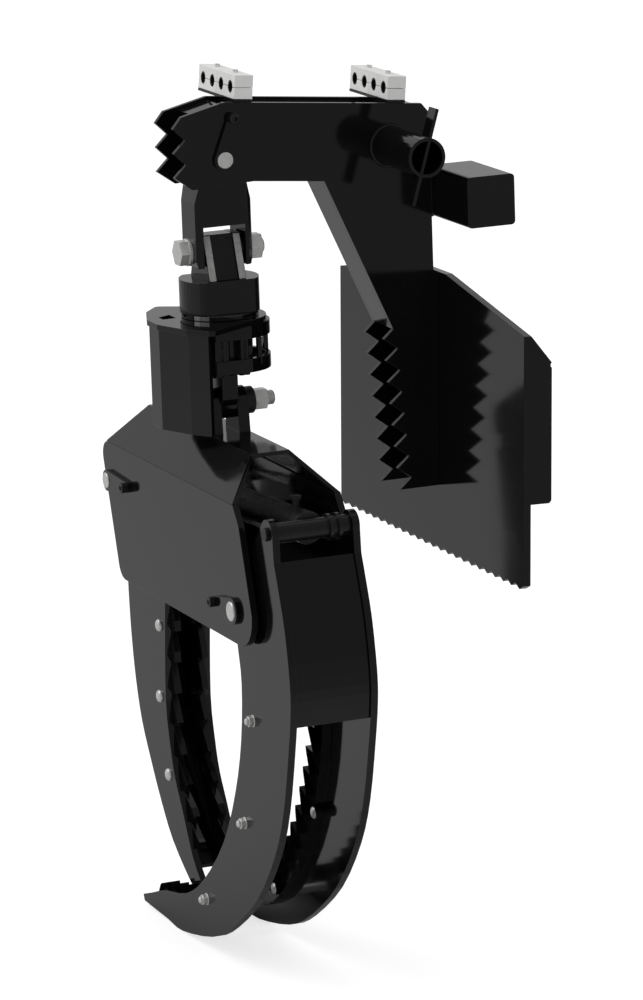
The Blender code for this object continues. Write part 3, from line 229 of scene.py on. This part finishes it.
glossPaintLook = {
    "dark": (0.0020, 0.0020, 0.0021), "light": (0.0034, 0.0034, 0.0035), "worn": (0.020, 0.020, 0.020),
    "dusty": (0.040, 0.039, 0.037), "rough": (0.07, 0.11), "edge": 0.0010, "patch": 30.0, "wear": 0.5,
    "fine": 420.0, "broad": 9.0, "bump": 0.10, "depth": 0.00012, "dust": 0.03, "dustScale": 55.0,
    "dustRough": 0.20, "metal": 0.0}
satinPaintLook = {
    "dark": (0.0028, 0.0028, 0.0030), "light": (0.0048, 0.0048, 0.0050), "worn": (0.025, 0.025, 0.024),
    "dusty": (0.050, 0.048, 0.045), "rough": (0.22, 0.30), "edge": 0.0008, "patch": 35.0, "wear": 0.5,
    "fine": 700.0, "broad": 14.0, "bump": 0.25, "depth": 0.00012, "dust": 0.08, "dustScale": 70.0,
    "dustRough": 0.20, "metal": 0.0}
darkSteelLook = {
    "dark": (0.030, 0.030, 0.031), "light": (0.055, 0.055, 0.056), "worn": (0.18, 0.18, 0.18),
    "dusty": (0.10, 0.095, 0.09), "rough": (0.30, 0.42), "edge": 0.0006, "patch": 60.0, "wear": 0.7,
    "fine": 900.0, "broad": 40.0, "bump": 0.20, "depth": 0.00010, "dust": 0.05, "dustScale": 90.0,
    "dustRough": 0.15, "metal": 0.85}
zincLook = {
    "dark": (0.74, 0.74, 0.73), "light": (0.84, 0.84, 0.83), "worn": (0.90, 0.90, 0.89),
    "dusty": (0.45, 0.44, 0.42), "rough": (0.26, 0.40), "edge": 0.0007, "patch": 80.0, "wear": 0.6,
    "fine": 1100.0, "broad": 120.0, "bump": 0.25, "depth": 0.00010, "dust": 0.06, "dustScale": 110.0,
    "dustRough": 0.15, "metal": 0.62}
chromeLook = {
    "dark": (0.66, 0.66, 0.67), "light": (0.74, 0.74, 0.75), "worn": (0.80, 0.80, 0.80),
    "dusty": (0.50, 0.49, 0.47), "rough": (0.06, 0.11), "edge": 0.0006, "patch": 60.0, "wear": 0.2,
    "fine": 1400.0, "broad": 60.0, "bump": 0.05, "depth": 0.00005, "dust": 0.03, "dustScale": 90.0,
    "dustRough": 0.10, "metal": 1.0}
clampLook = {
    "dark": (0.84, 0.84, 0.83), "light": (0.90, 0.90, 0.89), "worn": (0.93, 0.93, 0.93),
    "dusty": (0.50, 0.49, 0.47), "rough": (0.42, 0.52), "edge": 0.0008, "patch": 50.0, "wear": 0.5,
    "fine": 1300.0, "broad": 50.0, "bump": 0.30, "depth": 0.00010, "dust": 0.08, "dustScale": 90.0,
    "dustRough": 0.15, "metal": 0.05}
# painted highlight: light grey for the lugs' front edges, standing in for a bright lamp's reflection on them
edgeHighlightLook = {
    "dark": (0.26, 0.26, 0.26), "light": (0.38, 0.38, 0.37), "worn": (0.55, 0.55, 0.54),
    "dusty": (0.20, 0.19, 0.18), "rough": (0.30, 0.44), "edge": 0.0006, "patch": 90.0, "wear": 0.8,
    "fine": 900.0, "broad": 160.0, "bump": 0.35, "depth": 0.00012, "dust": 0.05, "dustScale": 90.0,
    "dustRough": 0.15, "metal": 0.12}
# painted shade: a matte near-black put in the clamp bores so the holes read dark
shadeBlackLook = {
    "dark": (0.0020, 0.0020, 0.0020), "light": (0.0035, 0.0035, 0.0035), "worn": (0.012, 0.012, 0.012),
    "dusty": (0.02, 0.02, 0.02), "rough": (0.55, 0.70), "edge": 0.0004, "patch": 60.0, "wear": 0.3,
    "fine": 1600.0, "broad": 90.0, "bump": 0.30, "depth": 0.00010, "dust": 0.04, "dustScale": 90.0,
    "dustRough": 0.10, "metal": 0.0}

finishes = {
    "black_paint": makeFinish("glossBlackPaint", glossPaintLook),
    "satin_paint": makeFinish("satinBlackPaint", satinPaintLook),
    "dark_steel": makeFinish("blackenedSteel", darkSteelLook),
    "zinc": makeFinish("zincPlate", zincLook),
    "hard_chrome": makeFinish("hardChrome", chromeLook),
    "clamp_aluminium": makeFinish("clampAlloy", clampLook),
    # painted highlight finish for the lugs' front edges
    "scuffed_edge": makeFinish("scuffedEdge", edgeHighlightLook),
    # painted shade black for the clamp bores
    "clamp_rubber": makeFinish("clampRubber", shadeBlackLook),
}
print("finishes made:", len(finishes))


def dressNodes():
    for row in frame["record"]["subparts"]:
        node = frame["nodes"][row["node"]]
        for holder in node.material_slots:
            holder.material = finishes[row["material_slot"]]


dressNodes()
print("nodes dressed")


# pieces that the solids leave to the scene, in metres and in the frame of the solids

pieceEdges = {"smoothAngle": 32.0, "bevelSegments": 2}


def newPiece(name, points, faces, body, slot, finish=None, matrix=None,
             smoothAngle=pieceEdges["smoothAngle"], bevel=0.0):
    mesh = bpy.data.meshes.new(name)
    mesh.from_pydata([tuple(point) for point in points], [], faces)
    if matrix is not None:
        mesh.transform(matrix)
    tool = bmesh.new()
    tool.from_mesh(mesh)
    bmesh.ops.recalc_face_normals(tool, faces=tool.faces)
    tool.to_mesh(mesh)
    tool.free()
    piece = bpy.data.objects.new(name, mesh)
    bpy.context.scene.collection.objects.link(piece)
    if bevel:
        rounding = piece.modifiers.new("roundedEdges", "BEVEL")
        rounding.width = bevel
        rounding.segments = pieceEdges["bevelSegments"]
        rounding.limit_method = "ANGLE"
        rounding.angle_limit = math.radians(smoothAngle)
    mesh.shade_smooth()
    mesh.set_sharp_from_angle(angle=math.radians(smoothAngle))
    mesh.materials.append(finishes[finish or slot])
    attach(piece, body)
    return piece


def axisFrame(axis):
    # first column runs along the axis, the other two span the circle
    order = {"X": ((1, 0, 0), (0, 1, 0), (0, 0, 1)), "Y": ((0, 1, 0), (0, 0, 1), (1, 0, 0)),
             "Z": ((0, 0, 1), (1, 0, 0), (0, 1, 0))}[axis]
    return [Vector(column) for column in order]


def turned(profile, centre, axis="X", sides=32, closed=False, phase=0.0):
    along, first, second = axisFrame(axis)
    points, faces, rings = [], [], []
    for reach, radius in profile:
        count = sides if radius > 0 else 1
        ring = []
        for step in range(count):
            angle = phase + 2 * math.pi * step / sides
            spot = Vector(centre) + along * reach
            spot = spot + (first * math.cos(angle) + second * math.sin(angle)) * radius
            ring.append(len(points))
            points.append(spot)
        rings.append(ring)
    pairs = list(zip(rings, rings[1:])) + ([(rings[-1], rings[0])] if closed else [])
    for near, far in pairs:
        for step in range(sides):
            after = (step + 1) % sides
            corners = [near[step % len(near)], near[after % len(near)],
                       far[after % len(far)], far[step % len(far)]]
            face = list(dict.fromkeys(corners))      # a ring of one point gives a triangle
            if len(face) > 2:
                faces.append(face)
    if not closed:
        for ring in (rings[0], rings[-1]):
            if len(ring) > 1:
                faces.append(list(ring))
    return points, faces


def slab(outline, low, high, axis="X"):
    along, first, second = axisFrame(axis)
    points = [along * reach + first * a + second * b for reach in (low, high) for a, b in outline]
    count = len(outline)
    faces = [list(range(count)), list(range(2 * count - 1, count - 1, -1))]
    for step in range(count):
        after = (step + 1) % count
        faces.append([step, after, after + count, step + count])
    return points, faces


def joined(*parts):
    points, faces = [], []
    for more, rims in parts:
        shift = len(points)
        points += [Vector(point) for point in more]
        faces += [[corner + shift for corner in face] for face in rims]
    return points, faces


def domeProfile(start, way, radius, height, steps=6):
    profile = [(start, radius)]
    for step in range(1, steps + 1):
        angle = math.pi / 2 * step / steps
        profile.append((start + way * height * math.sin(angle), max(0.0, radius * math.cos(angle))))
    profile[-1] = (start + way * height, 0.0)
    return profile


# zinc dome heads over the plain heads of the fixed jaw's bolts
fixedBolt = {"radius": 0.0100, "height": 0.0065, "lip": 0.0012, "outer": {"left": -0.4253, "right": -0.3493},
             "spots": ((0.22389, -0.48122), (0.21460, -0.36396), (0.19890, -0.60356))}


def makeFixedBolts():
    for side, way in (("left", -1), ("right", 1)):
        for number, (y, z) in enumerate(fixedBolt["spots"], 1):
            face = fixedBolt["outer"][side]
            rim = face + way * fixedBolt["lip"]
            profile = [(face, fixedBolt["radius"])]
            profile += domeProfile(rim, way, fixedBolt["radius"], fixedBolt["height"] - fixedBolt["lip"])
            newPiece("fixed_jaw_dome_%s_%d" % (side, number), *turned(profile, (0, y, z)), "grapple", "zinc")


# the moving jaw's strips without their heads, and its nuts where the photograph has them
movingStrip = {"inner": {"left": -0.4463, "right": -0.3283}, "seat": 0.00032, "thick": 0.01646}
movingBolt = {"nutRadius": 0.0088, "nutHeight": 0.0075, "washer": 0.0095, "washerHeight": 0.0010,
              "nutSides": 6, "nutTurn": 12, "nutBevel": 0.0007, "stud": 0.0056, "studReach": 0.0135,
              "studCrown": 0.4, "studSides": 24, "headRadius": 0.0090, "headHeight": 0.0060,
              "boss": 0.0100, "bossReach": 0.0170, "bossBevel": 0.0006, "headOnBoss": 0.0036,
              "plug": 0.0068, "plugProud": 0.00006, "plugSides": 40,
              "plugs": ((0.03906, -0.76924), (-0.15181, -0.60074), (-0.22042, -0.42384)),
              "outer": {"left": -0.4573, "right": -0.3173},
              "spots": ((-0.2477, -0.4060), (-0.1991, -0.5769), (-0.0270, -0.7431))}


def makeMovingStrips():
    for side, way in (("left", 1), ("right", -1)):
        source = frame["nodes"]["moving_jaw_tooth_strip_" + side]
        tool = bmesh.new()
        tool.from_mesh(source.data)
        start = movingStrip["inner"][side] + way * movingStrip["seat"]
        for place, outward in ((start, -way), (start + way * movingStrip["thick"], way)):
            everything = tool.verts[:] + tool.edges[:] + tool.faces[:]
            bmesh.ops.bisect_plane(tool, geom=everything, plane_co=(place, 0, 0),
                                   plane_no=(outward, 0, 0), clear_outer=True)
            rim = [edge for edge in tool.edges if edge.is_boundary]
            bmesh.ops.holes_fill(tool, edges=rim, sides=0)
        points = [tuple(vert.co) for vert in tool.verts]
        tool.verts.index_update()
        faces = [[vert.index for vert in face.verts] for face in tool.faces]
        tool.free()
        piece = newPiece("moving_jaw_strip_" + side, points, faces, "jaw", "black_paint")
        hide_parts("moving_jaw_tooth_strip_" + side)


def makeJawPlugs():
    # flush plugs, because the photograph's plates have no holes where the solids' bolts were
    for side, way in (("left", 1), ("right", -1)):
        low = movingBolt["outer"][side] - way * movingBolt["plugProud"]
        high = movingStrip["inner"][side]
        profile = [(low, movingBolt["plug"]), (high, movingBolt["plug"])]
        discs = [turned(profile, (0, y, z), sides=movingBolt["plugSides"]) for y, z in movingBolt["plugs"]]
        newPiece("moving_jaw_plugs_" + side, *joined(*discs), "jaw", "black_paint")


def makeMovingBolts():
    for number, (y, z) in enumerate(movingBolt["spots"], 1):
        face = movingBolt["outer"]["left"]
        low = face - movingBolt["washerHeight"]
        washer = turned([(face, movingBolt["washer"]), (low, movingBolt["washer"])], (0, y, z))
        high = low - movingBolt["nutHeight"]
        nut = turned([(low, movingBolt["nutRadius"]), (high, movingBolt["nutRadius"])], (0, y, z),
                     sides=movingBolt["nutSides"], phase=math.radians(movingBolt["nutTurn"] * number))
        crown = movingBolt["studCrown"] * movingBolt["stud"]
        end = face - movingBolt["studReach"] + crown
        profile = [(high, movingBolt["stud"])] + domeProfile(end, -1, movingBolt["stud"], crown)
        stud = turned(profile, (0, y, z), sides=movingBolt["studSides"])
        newPiece("moving_jaw_nut_left_%d" % number, *joined(washer, nut, stud), "jaw", "zinc",
                 bevel=movingBolt["nutBevel"])
        face = movingBolt["outer"]["right"]
        head = turned(domeProfile(face, 1, movingBolt["headRadius"], movingBolt["headHeight"]), (0, y, z))
        newPiece("moving_jaw_head_right_%d" % number, *head, "jaw", "zinc")
        for side, way in (("left", 1), ("right", -1)):
            face = movingStrip["inner"][side]
            top = face + way * movingBolt["bossReach"]
            profile = [(face, movingBolt["boss"]), (top, movingBolt["boss"])]
            newPiece("moving_jaw_boss_%s_%d" % (side, number), *turned(profile, (0, y, z)), "jaw",
                     "black_paint", bevel=movingBolt["bossBevel"])
            head = domeProfile(top, way, movingBolt["headRadius"], movingBolt["headOnBoss"])
            newPiece("moving_jaw_dome_%s_%d" % (side, number), *turned(head, (0, y, z)), "jaw", "zinc")


# pipe clamps: two halves on the weld-on strip, black sleeves in the bores that paint shade, and one screw
# each
clamp = {"depth": 0.0300, "height": 0.0362, "boreHeight": 0.0170, "bore": 0.0092, "split": 0.0004,
         "sleeve": 0.0020, "sleeveIn": 0.0004, "tilt": math.radians(5.42), "boreSteps": 16, "edge": 0.0006,
         "sleeveGap": 0.0001, "screw": 0.0042, "screwHeight": 0.0042, "screwSunk": 0.001, "screwSides": 24,
         "socket": 0.0022, "socketDepth": 0.0018,
         "corners": {"front": (-0.3668, 0.49673), "rear": (-0.1168, 0.47303)},
         "spans": {"near": (-0.0378, 0.0344, (-0.0203, 0.0167)), "far": (0.0346, 0.1068, (0.0523, 0.0893))}}


def clampHalf(start, end, bores, edgeHeight, level, way):
    outline = [(start, edgeHeight), (end, edgeHeight), (end, level)]
    for centre in reversed(bores):
        for step in range(clamp["boreSteps"] + 1):
            angle = math.pi * step / clamp["boreSteps"]
            outline.append((centre + clamp["bore"] * math.cos(angle),
                            level + way * clamp["bore"] * math.sin(angle)))
    outline.append((start, level))
    return slab(outline, 0.0, clamp["depth"])


def makeClamps():
    for group, (x, z) in clamp["corners"].items():
        lean = Matrix.Translation((x, 0, z)) @ Matrix.Rotation(clamp["tilt"], 4, "Y")
        for label, (start, end, bores) in clamp["spans"].items():
            name = "%s_%s" % (group, label)
            level = clamp["boreHeight"]
            upper = clampHalf(start, end, bores, clamp["height"], level + clamp["split"], 1)
            lower = clampHalf(start, end, bores, 0.0, level - clamp["split"], -1)
            body = newPiece("clamp_halves_" + name, *joined(lower, upper), "arm", "clamp_aluminium",
                            matrix=lean, bevel=clamp["edge"])
            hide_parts("pipe_clamp_" + name)
            # black sleeves lining the bores: painted shade that makes the holes read dark
            outer = clamp["bore"] - clamp["sleeveGap"]
            inner = outer - clamp["sleeve"]
            low, high = clamp["sleeveIn"], clamp["depth"] - clamp["sleeveIn"]
            rings = [turned([(low, inner), (low, outer), (high, outer), (high, inner)],
                            (0, y, level), closed=True) for y in bores]
            newPiece("clamp_bore_shade_" + name, *joined(*rings), "arm", "clamp_aluminium", "clamp_rubber",
                     matrix=lean)
            top = clamp["height"]
            peak = top + clamp["screwHeight"]
            well = peak - clamp["socketDepth"]
            profile = [(top - clamp["screwSunk"], clamp["screw"]), (peak, clamp["screw"]),
                       (peak, clamp["socket"]), (well, clamp["socket"]), (well, 0.0)]
            spot = (clamp["depth"] / 2, (start + end) / 2, 0)
            screw = turned(profile, spot, "Z", clamp["screwSides"])
            newPiece("clamp_screw_" + name, *screw, "arm", "zinc", matrix=lean)


# swivel head: plates over the lugs, light strips on their front edges that paint a highlight, a set-back
# panel and a top bar
headLug = {"axisX": -0.38734, "foot": 0.22325, "top": 0.2910, "footHalf": 0.0385, "topHalf": 0.0165,
           "outer": 0.03020, "inner": 0.01780, "panelBack": 0.0026, "panelThick": 0.0023,
           "panelTop": 0.2840, "panelBevel": 0.0003, "barThick": 0.0066, "barBack": 0.0010, "barDrop": 0.0004,
           "barBevel": 0.0005, "plateBevel": 0.0008, "edgeProud": 0.0006, "edgeLift": 0.0004,
           "edgeDrop": 0.0012, "edgeInset": 0.0008, "edgeBevel": 0.0003}


def lugFront(height, back=0.0):
    share = (height - headLug["foot"]) / (headLug["top"] - headLug["foot"])
    return -(headLug["footHalf"] + (headLug["topHalf"] - headLug["footHalf"]) * share) + back


def makeHeadLugs():
    foot, top, middle = headLug["foot"], headLug["top"], headLug["axisX"]
    profile = [(lugFront(foot), foot), (-lugFront(foot), foot), (-lugFront(top), top), (lugFront(top), top)]
    proud = headLug["edgeProud"]
    for side, way in (("left", -1), ("right", 1)):
        low, high = sorted((middle + way * headLug["inner"], middle + way * headLug["outer"]))
        newPiece("head_lug_" + side, *slab(profile, low, high), "head", "black_paint",
                 bevel=headLug["plateBevel"])
        start, stop, inset = foot + headLug["edgeLift"], top - headLug["edgeDrop"], headLug["edgeInset"]
        edge = [(lugFront(foot) - proud, start), (lugFront(foot) + proud, start),
                (lugFront(top) + proud, stop), (lugFront(top) - proud, stop)]
        # light grey strips along the lugs' front edges are a painted highlight
        newPiece("head_lug_edge_" + side, *slab(edge, low + inset, high - inset), "head", "dark_steel",
                 "scuffed_edge", bevel=headLug["edgeBevel"])
    low, high = middle - headLug["inner"], middle + headLug["inner"]
    back, thick, rise = headLug["panelBack"], headLug["panelThick"], headLug["panelTop"]
    panel = [(lugFront(foot, back), foot), (lugFront(foot, back + thick), foot),
             (lugFront(rise, back + thick), rise), (lugFront(rise, back), rise)]
    newPiece("head_panel", *slab(panel, low, high), "head", "black_paint", bevel=headLug["panelBevel"])
    start, stop, back = top - headLug["barThick"], top - headLug["barDrop"], headLug["barBack"]
    bar = [(lugFront(start, back), start), (-lugFront(start), start), (-lugFront(top), stop),
           (lugFront(top, back), stop)]
    newPiece("head_top_bar", *slab(bar, low, high), "head", "black_paint", bevel=headLug["barBevel"])


# black ring round the shaft's flange that paints shade over the chrome; it is left open where the shaft's
# bright highlight falls, so the highlight is painted in place
shaftShadeRing = {"inner": 0.0581, "outer": 0.0590, "low": 0.1646, "high": 0.1716, "from": 232.0, "to": 565.0,
          "steps": 64}


def makeShaftShadeRing():
    points, faces = [], []
    for step in range(shaftShadeRing["steps"] + 1):
        angle = math.radians(shaftShadeRing["from"] + (shaftShadeRing["to"] - shaftShadeRing["from"]) * step / shaftShadeRing["steps"])
        for radius, height in ((shaftShadeRing["inner"], shaftShadeRing["low"]), (shaftShadeRing["outer"], shaftShadeRing["low"]),
                               (shaftShadeRing["outer"], shaftShadeRing["high"]), (shaftShadeRing["inner"], shaftShadeRing["high"])):
            points.append((headLug["axisX"] + radius * math.cos(angle), radius * math.sin(angle), height))
    for step in range(shaftShadeRing["steps"]):
        for corner in range(4):
            after = (corner + 1) % 4
            faces.append([4 * step + corner, 4 * step + after, 4 * step + 4 + after, 4 * step + 4 + corner])
    faces += [[0, 1, 2, 3], [4 * shaftShadeRing["steps"] + corner for corner in (3, 2, 1, 0)]]
    # a black ring over the chrome: painted shade with a gap for a painted highlight
    newPiece("shaft_shade_ring", points, faces, "head", "black_paint")


# valve block and post in front of the rotator's two ports
rotatorFront = {"face": -0.0595, "back": -0.0440, "low": 0.0790, "high": 0.1550, "chamfer": 0.0030,
                "blocks": (("block", -0.4240, -0.3960), ("post", -0.3820, -0.3640)),
                "grooveDepth": 0.0015, "groove": 0.0030, "bevel": 0.0005}


def makeRotatorFront():
    for label, left, right in rotatorFront["blocks"]:
        cut, face, back = rotatorFront["chamfer"], rotatorFront["face"], rotatorFront["back"]
        middle, notch = (left + right) / 2, rotatorFront["groove"] / 2
        deep = face + rotatorFront["grooveDepth"]
        outline = [(left, back), (left, face + cut), (left + cut, face), (middle - notch, face),
                   (middle - notch, deep), (middle + notch, deep), (middle + notch, face),
                   (right - cut, face), (right, face + cut), (right, back)]
        newPiece("rotator_" + label, *slab(outline, rotatorFront["low"], rotatorFront["high"], "Z"),
                 "grapple", "satin_paint", bevel=rotatorFront["bevel"])


# thread on the hanger bolt's end
hangerThread = {"start": -0.3192, "end": -0.3062, "pitch": 0.0032, "crest": 0.0114, "root": 0.0101,
                "chamfer": 0.0008, "smoothAngle": 20.0, "middle": (0.0, 0.0279)}


def makeHangerThread():
    profile = [(hangerThread["start"], hangerThread["root"])]
    reach = hangerThread["start"]
    while reach + hangerThread["pitch"] < hangerThread["end"]:
        profile.append((reach + hangerThread["pitch"] / 2, hangerThread["crest"]))
        reach += hangerThread["pitch"]
        profile.append((reach, hangerThread["root"]))
    profile += [(hangerThread["end"], hangerThread["root"] - hangerThread["chamfer"]),
                (hangerThread["end"], 0.0)]
    newPiece("hanger_thread", *turned(profile, (0, *hangerThread["middle"])), "grapple", "zinc",
             smoothAngle=hangerThread["smoothAngle"])


# weld round the guide tube where it meets the near plate
tubeWeld = {"centre": (-0.11535, 0.4030), "face": -0.0405, "ring": 0.0308, "bead": 0.0034, "ripple": 0.0006,
            "ripples": 44, "steps": 264, "sides": 8, "smoothAngle": 60.0}


def makeTubeWeld():
    points, faces = [], []
    sides, steps = tubeWeld["sides"], tubeWeld["steps"]
    for step in range(steps):
        turn = 2 * math.pi * step / steps
        wave = abs(math.sin(tubeWeld["ripples"] * turn / 2))
        for corner in range(sides):
            angle = 2 * math.pi * corner / sides
            size = tubeWeld["bead"] + tubeWeld["ripple"] * (wave - 0.5)
            radius = tubeWeld["ring"] + size * math.cos(angle)
            points.append((tubeWeld["centre"][0] + radius * math.cos(turn),
                           tubeWeld["face"] + size * math.sin(angle),
                           tubeWeld["centre"][1] + radius * math.sin(turn)))
    for step in range(steps):
        for corner in range(sides):
            after, ahead = (corner + 1) % sides, (step + 1) % steps
            faces.append([step * sides + corner, step * sides + after, ahead * sides + after,
                          ahead * sides + corner])
    newPiece("guide_tube_weld", points, faces, "arm", "black_paint", smoothAngle=tubeWeld["smoothAngle"])


makeFixedBolts()
makeMovingStrips()
makeMovingBolts()
makeJawPlugs()
print("jaw fasteners made")
makeClamps()
makeHeadLugs()
makeShaftShadeRing()
makeRotatorFront()
makeHangerThread()
makeTubeWeld()
print("clamps, head, rotator and weld made")


# floor, light and camera

# tones run from a darker front to a paler back, and the camera sees both as white
studio = {"floorSize": 30.0, "floorBand": (-2.4, -0.4), "frontTone": 0.30, "floorTone": 0.48,
          "frontGlow": 0.98, "floorGlow": 0.70, "skyLevel": 0.80, "glossBand": (-0.30, 0.35),
          "frontGloss": 0.20, "backGloss": 0.50}


def makeFloor():
    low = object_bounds()[0].z
    mesh = bpy.data.meshes.new("floor")
    half = studio["floorSize"]
    mesh.from_pydata([(-half, -half, low), (half, -half, low), (half, half, low), (-half, half, low)],
                     [], [(0, 1, 2, 3)])
    floor = bpy.data.objects.new("floor", mesh)
    bpy.context.scene.collection.objects.link(floor)
    material = bpy.data.materials.new("paleFloor")
    material.use_nodes = True
    tree = material.node_tree
    shader = tree.nodes["Principled BSDF"]
    place = addNode(tree, "ShaderNodeTexCoord")
    split = addNode(tree, "ShaderNodeSeparateXYZ")
    tree.links.new(place.outputs["Object"], split.inputs[0])
    depth = remap(tree, split.outputs["Y"], *studio["floorBand"], 0.0, 1.0, True)
    front, back = (studio[key] for key in ("frontTone", "floorTone"))
    tree.links.new(blendColour(tree, depth, (front,) * 3, (back,) * 3), shader.inputs["Base Color"])
    shader.inputs["Roughness"].default_value = 1.0
    shader.inputs["Specular IOR Level"].default_value = 0.0
    path = addNode(tree, "ShaderNodeLightPath")
    glow = remap(tree, depth, 0.0, 1.0, studio["frontGlow"], studio["floorGlow"])
    lit = mathNode(tree, "MULTIPLY", path.outputs["Is Camera Ray"], glow)
    shader.inputs["Emission Color"].default_value = (1, 1, 1, 1)
    tree.links.new(lit, shader.inputs["Emission Strength"])
    mesh.materials.append(material)


def makeWorld():
    world = bpy.data.worlds.new("studio")
    bpy.context.scene.world = world
    world.use_nodes = True
    tree = world.node_tree
    background = tree.nodes["Background"]
    path = addNode(tree, "ShaderNodeLightPath")
    place = addNode(tree, "ShaderNodeTexCoord")
    split = addNode(tree, "ShaderNodeSeparateXYZ")
    tree.links.new(place.outputs["Generated"], split.inputs[0])
    gloss = remap(tree, split.outputs["Y"], *studio["glossBand"], studio["frontGloss"], studio["backGloss"],
                  True)
    level = addNode(tree, "ShaderNodeMix", {"data_type": "FLOAT"})
    tree.links.new(path.outputs["Is Glossy Ray"], level.inputs["Factor"])
    level.inputs["A"].default_value = studio["skyLevel"]
    tree.links.new(gloss, level.inputs["B"])
    straight = mathNode(tree, "MAXIMUM", path.outputs["Is Camera Ray"], path.outputs["Is Transmission Ray"])
    shown = addNode(tree, "ShaderNodeMix", {"data_type": "FLOAT"})
    tree.links.new(straight, shown.inputs["Factor"])
    tree.links.new(level.outputs["Result"], shown.inputs["A"])
    shown.inputs["B"].default_value = 1.0
    background.inputs["Color"].default_value = (1, 1, 1, 1)
    tree.links.new(shown.outputs["Result"], background.inputs["Strength"])


keyLamp = {"spot": (-3.2, 1.6, 3.4), "target": (-0.2, 0.0, 0.0), "size": 2.2, "power": 45}


def makeKeyLamp():
    lamp = bpy.data.lights.new("keyLamp", "AREA")
    lamp.size = keyLamp["size"]
    lamp.energy = keyLamp["power"]
    holder = bpy.data.objects.new("keyLamp", lamp)
    bpy.context.scene.collection.objects.link(holder)
    holder.location = keyLamp["spot"]
    aim = Vector(keyLamp["target"]) - Vector(keyLamp["spot"])
    holder.rotation_mode = "QUATERNION"
    holder.rotation_quaternion = aim.to_track_quat("-Z", "Y")


# angles in degrees, lens and sensor in millimetres
cameraPlace = {"spot": (-3.33404, -7.48990, 1.70470), "turn": 22.5, "drop": 12.84, "roll": 2.0, "lens": 194.4,
               "sensor": 36, "reach": 100}


def makeCamera():
    turn, drop, roll = (math.radians(cameraPlace[key]) for key in ("turn", "drop", "roll"))
    ahead = Vector((math.sin(turn) * math.cos(drop), math.cos(turn) * math.cos(drop), -math.sin(drop)))
    side = Vector((math.cos(turn), -math.sin(turn), 0))
    over = Vector((math.sin(drop) * math.sin(turn), math.sin(drop) * math.cos(turn), math.cos(drop)))
    right = side * math.cos(roll) - over * math.sin(roll)
    up = side * math.sin(roll) + over * math.cos(roll)
    camera = bpy.data.cameras.new("camera")
    camera.lens = cameraPlace["lens"]
    camera.sensor_width = cameraPlace["sensor"]
    camera.clip_end = cameraPlace["reach"]
    holder = bpy.data.objects.new("camera", camera)
    bpy.context.scene.collection.objects.link(holder)
    facing = Matrix((right, up, -ahead)).transposed().to_4x4()
    holder.matrix_world = Matrix.Translation(cameraPlace["spot"]) @ facing
    bpy.context.scene.camera = holder


makeFloor()
makeWorld()
makeKeyLamp()
makeCamera()
bpy.context.scene.view_settings.view_transform = "Standard"
print("studio ready")
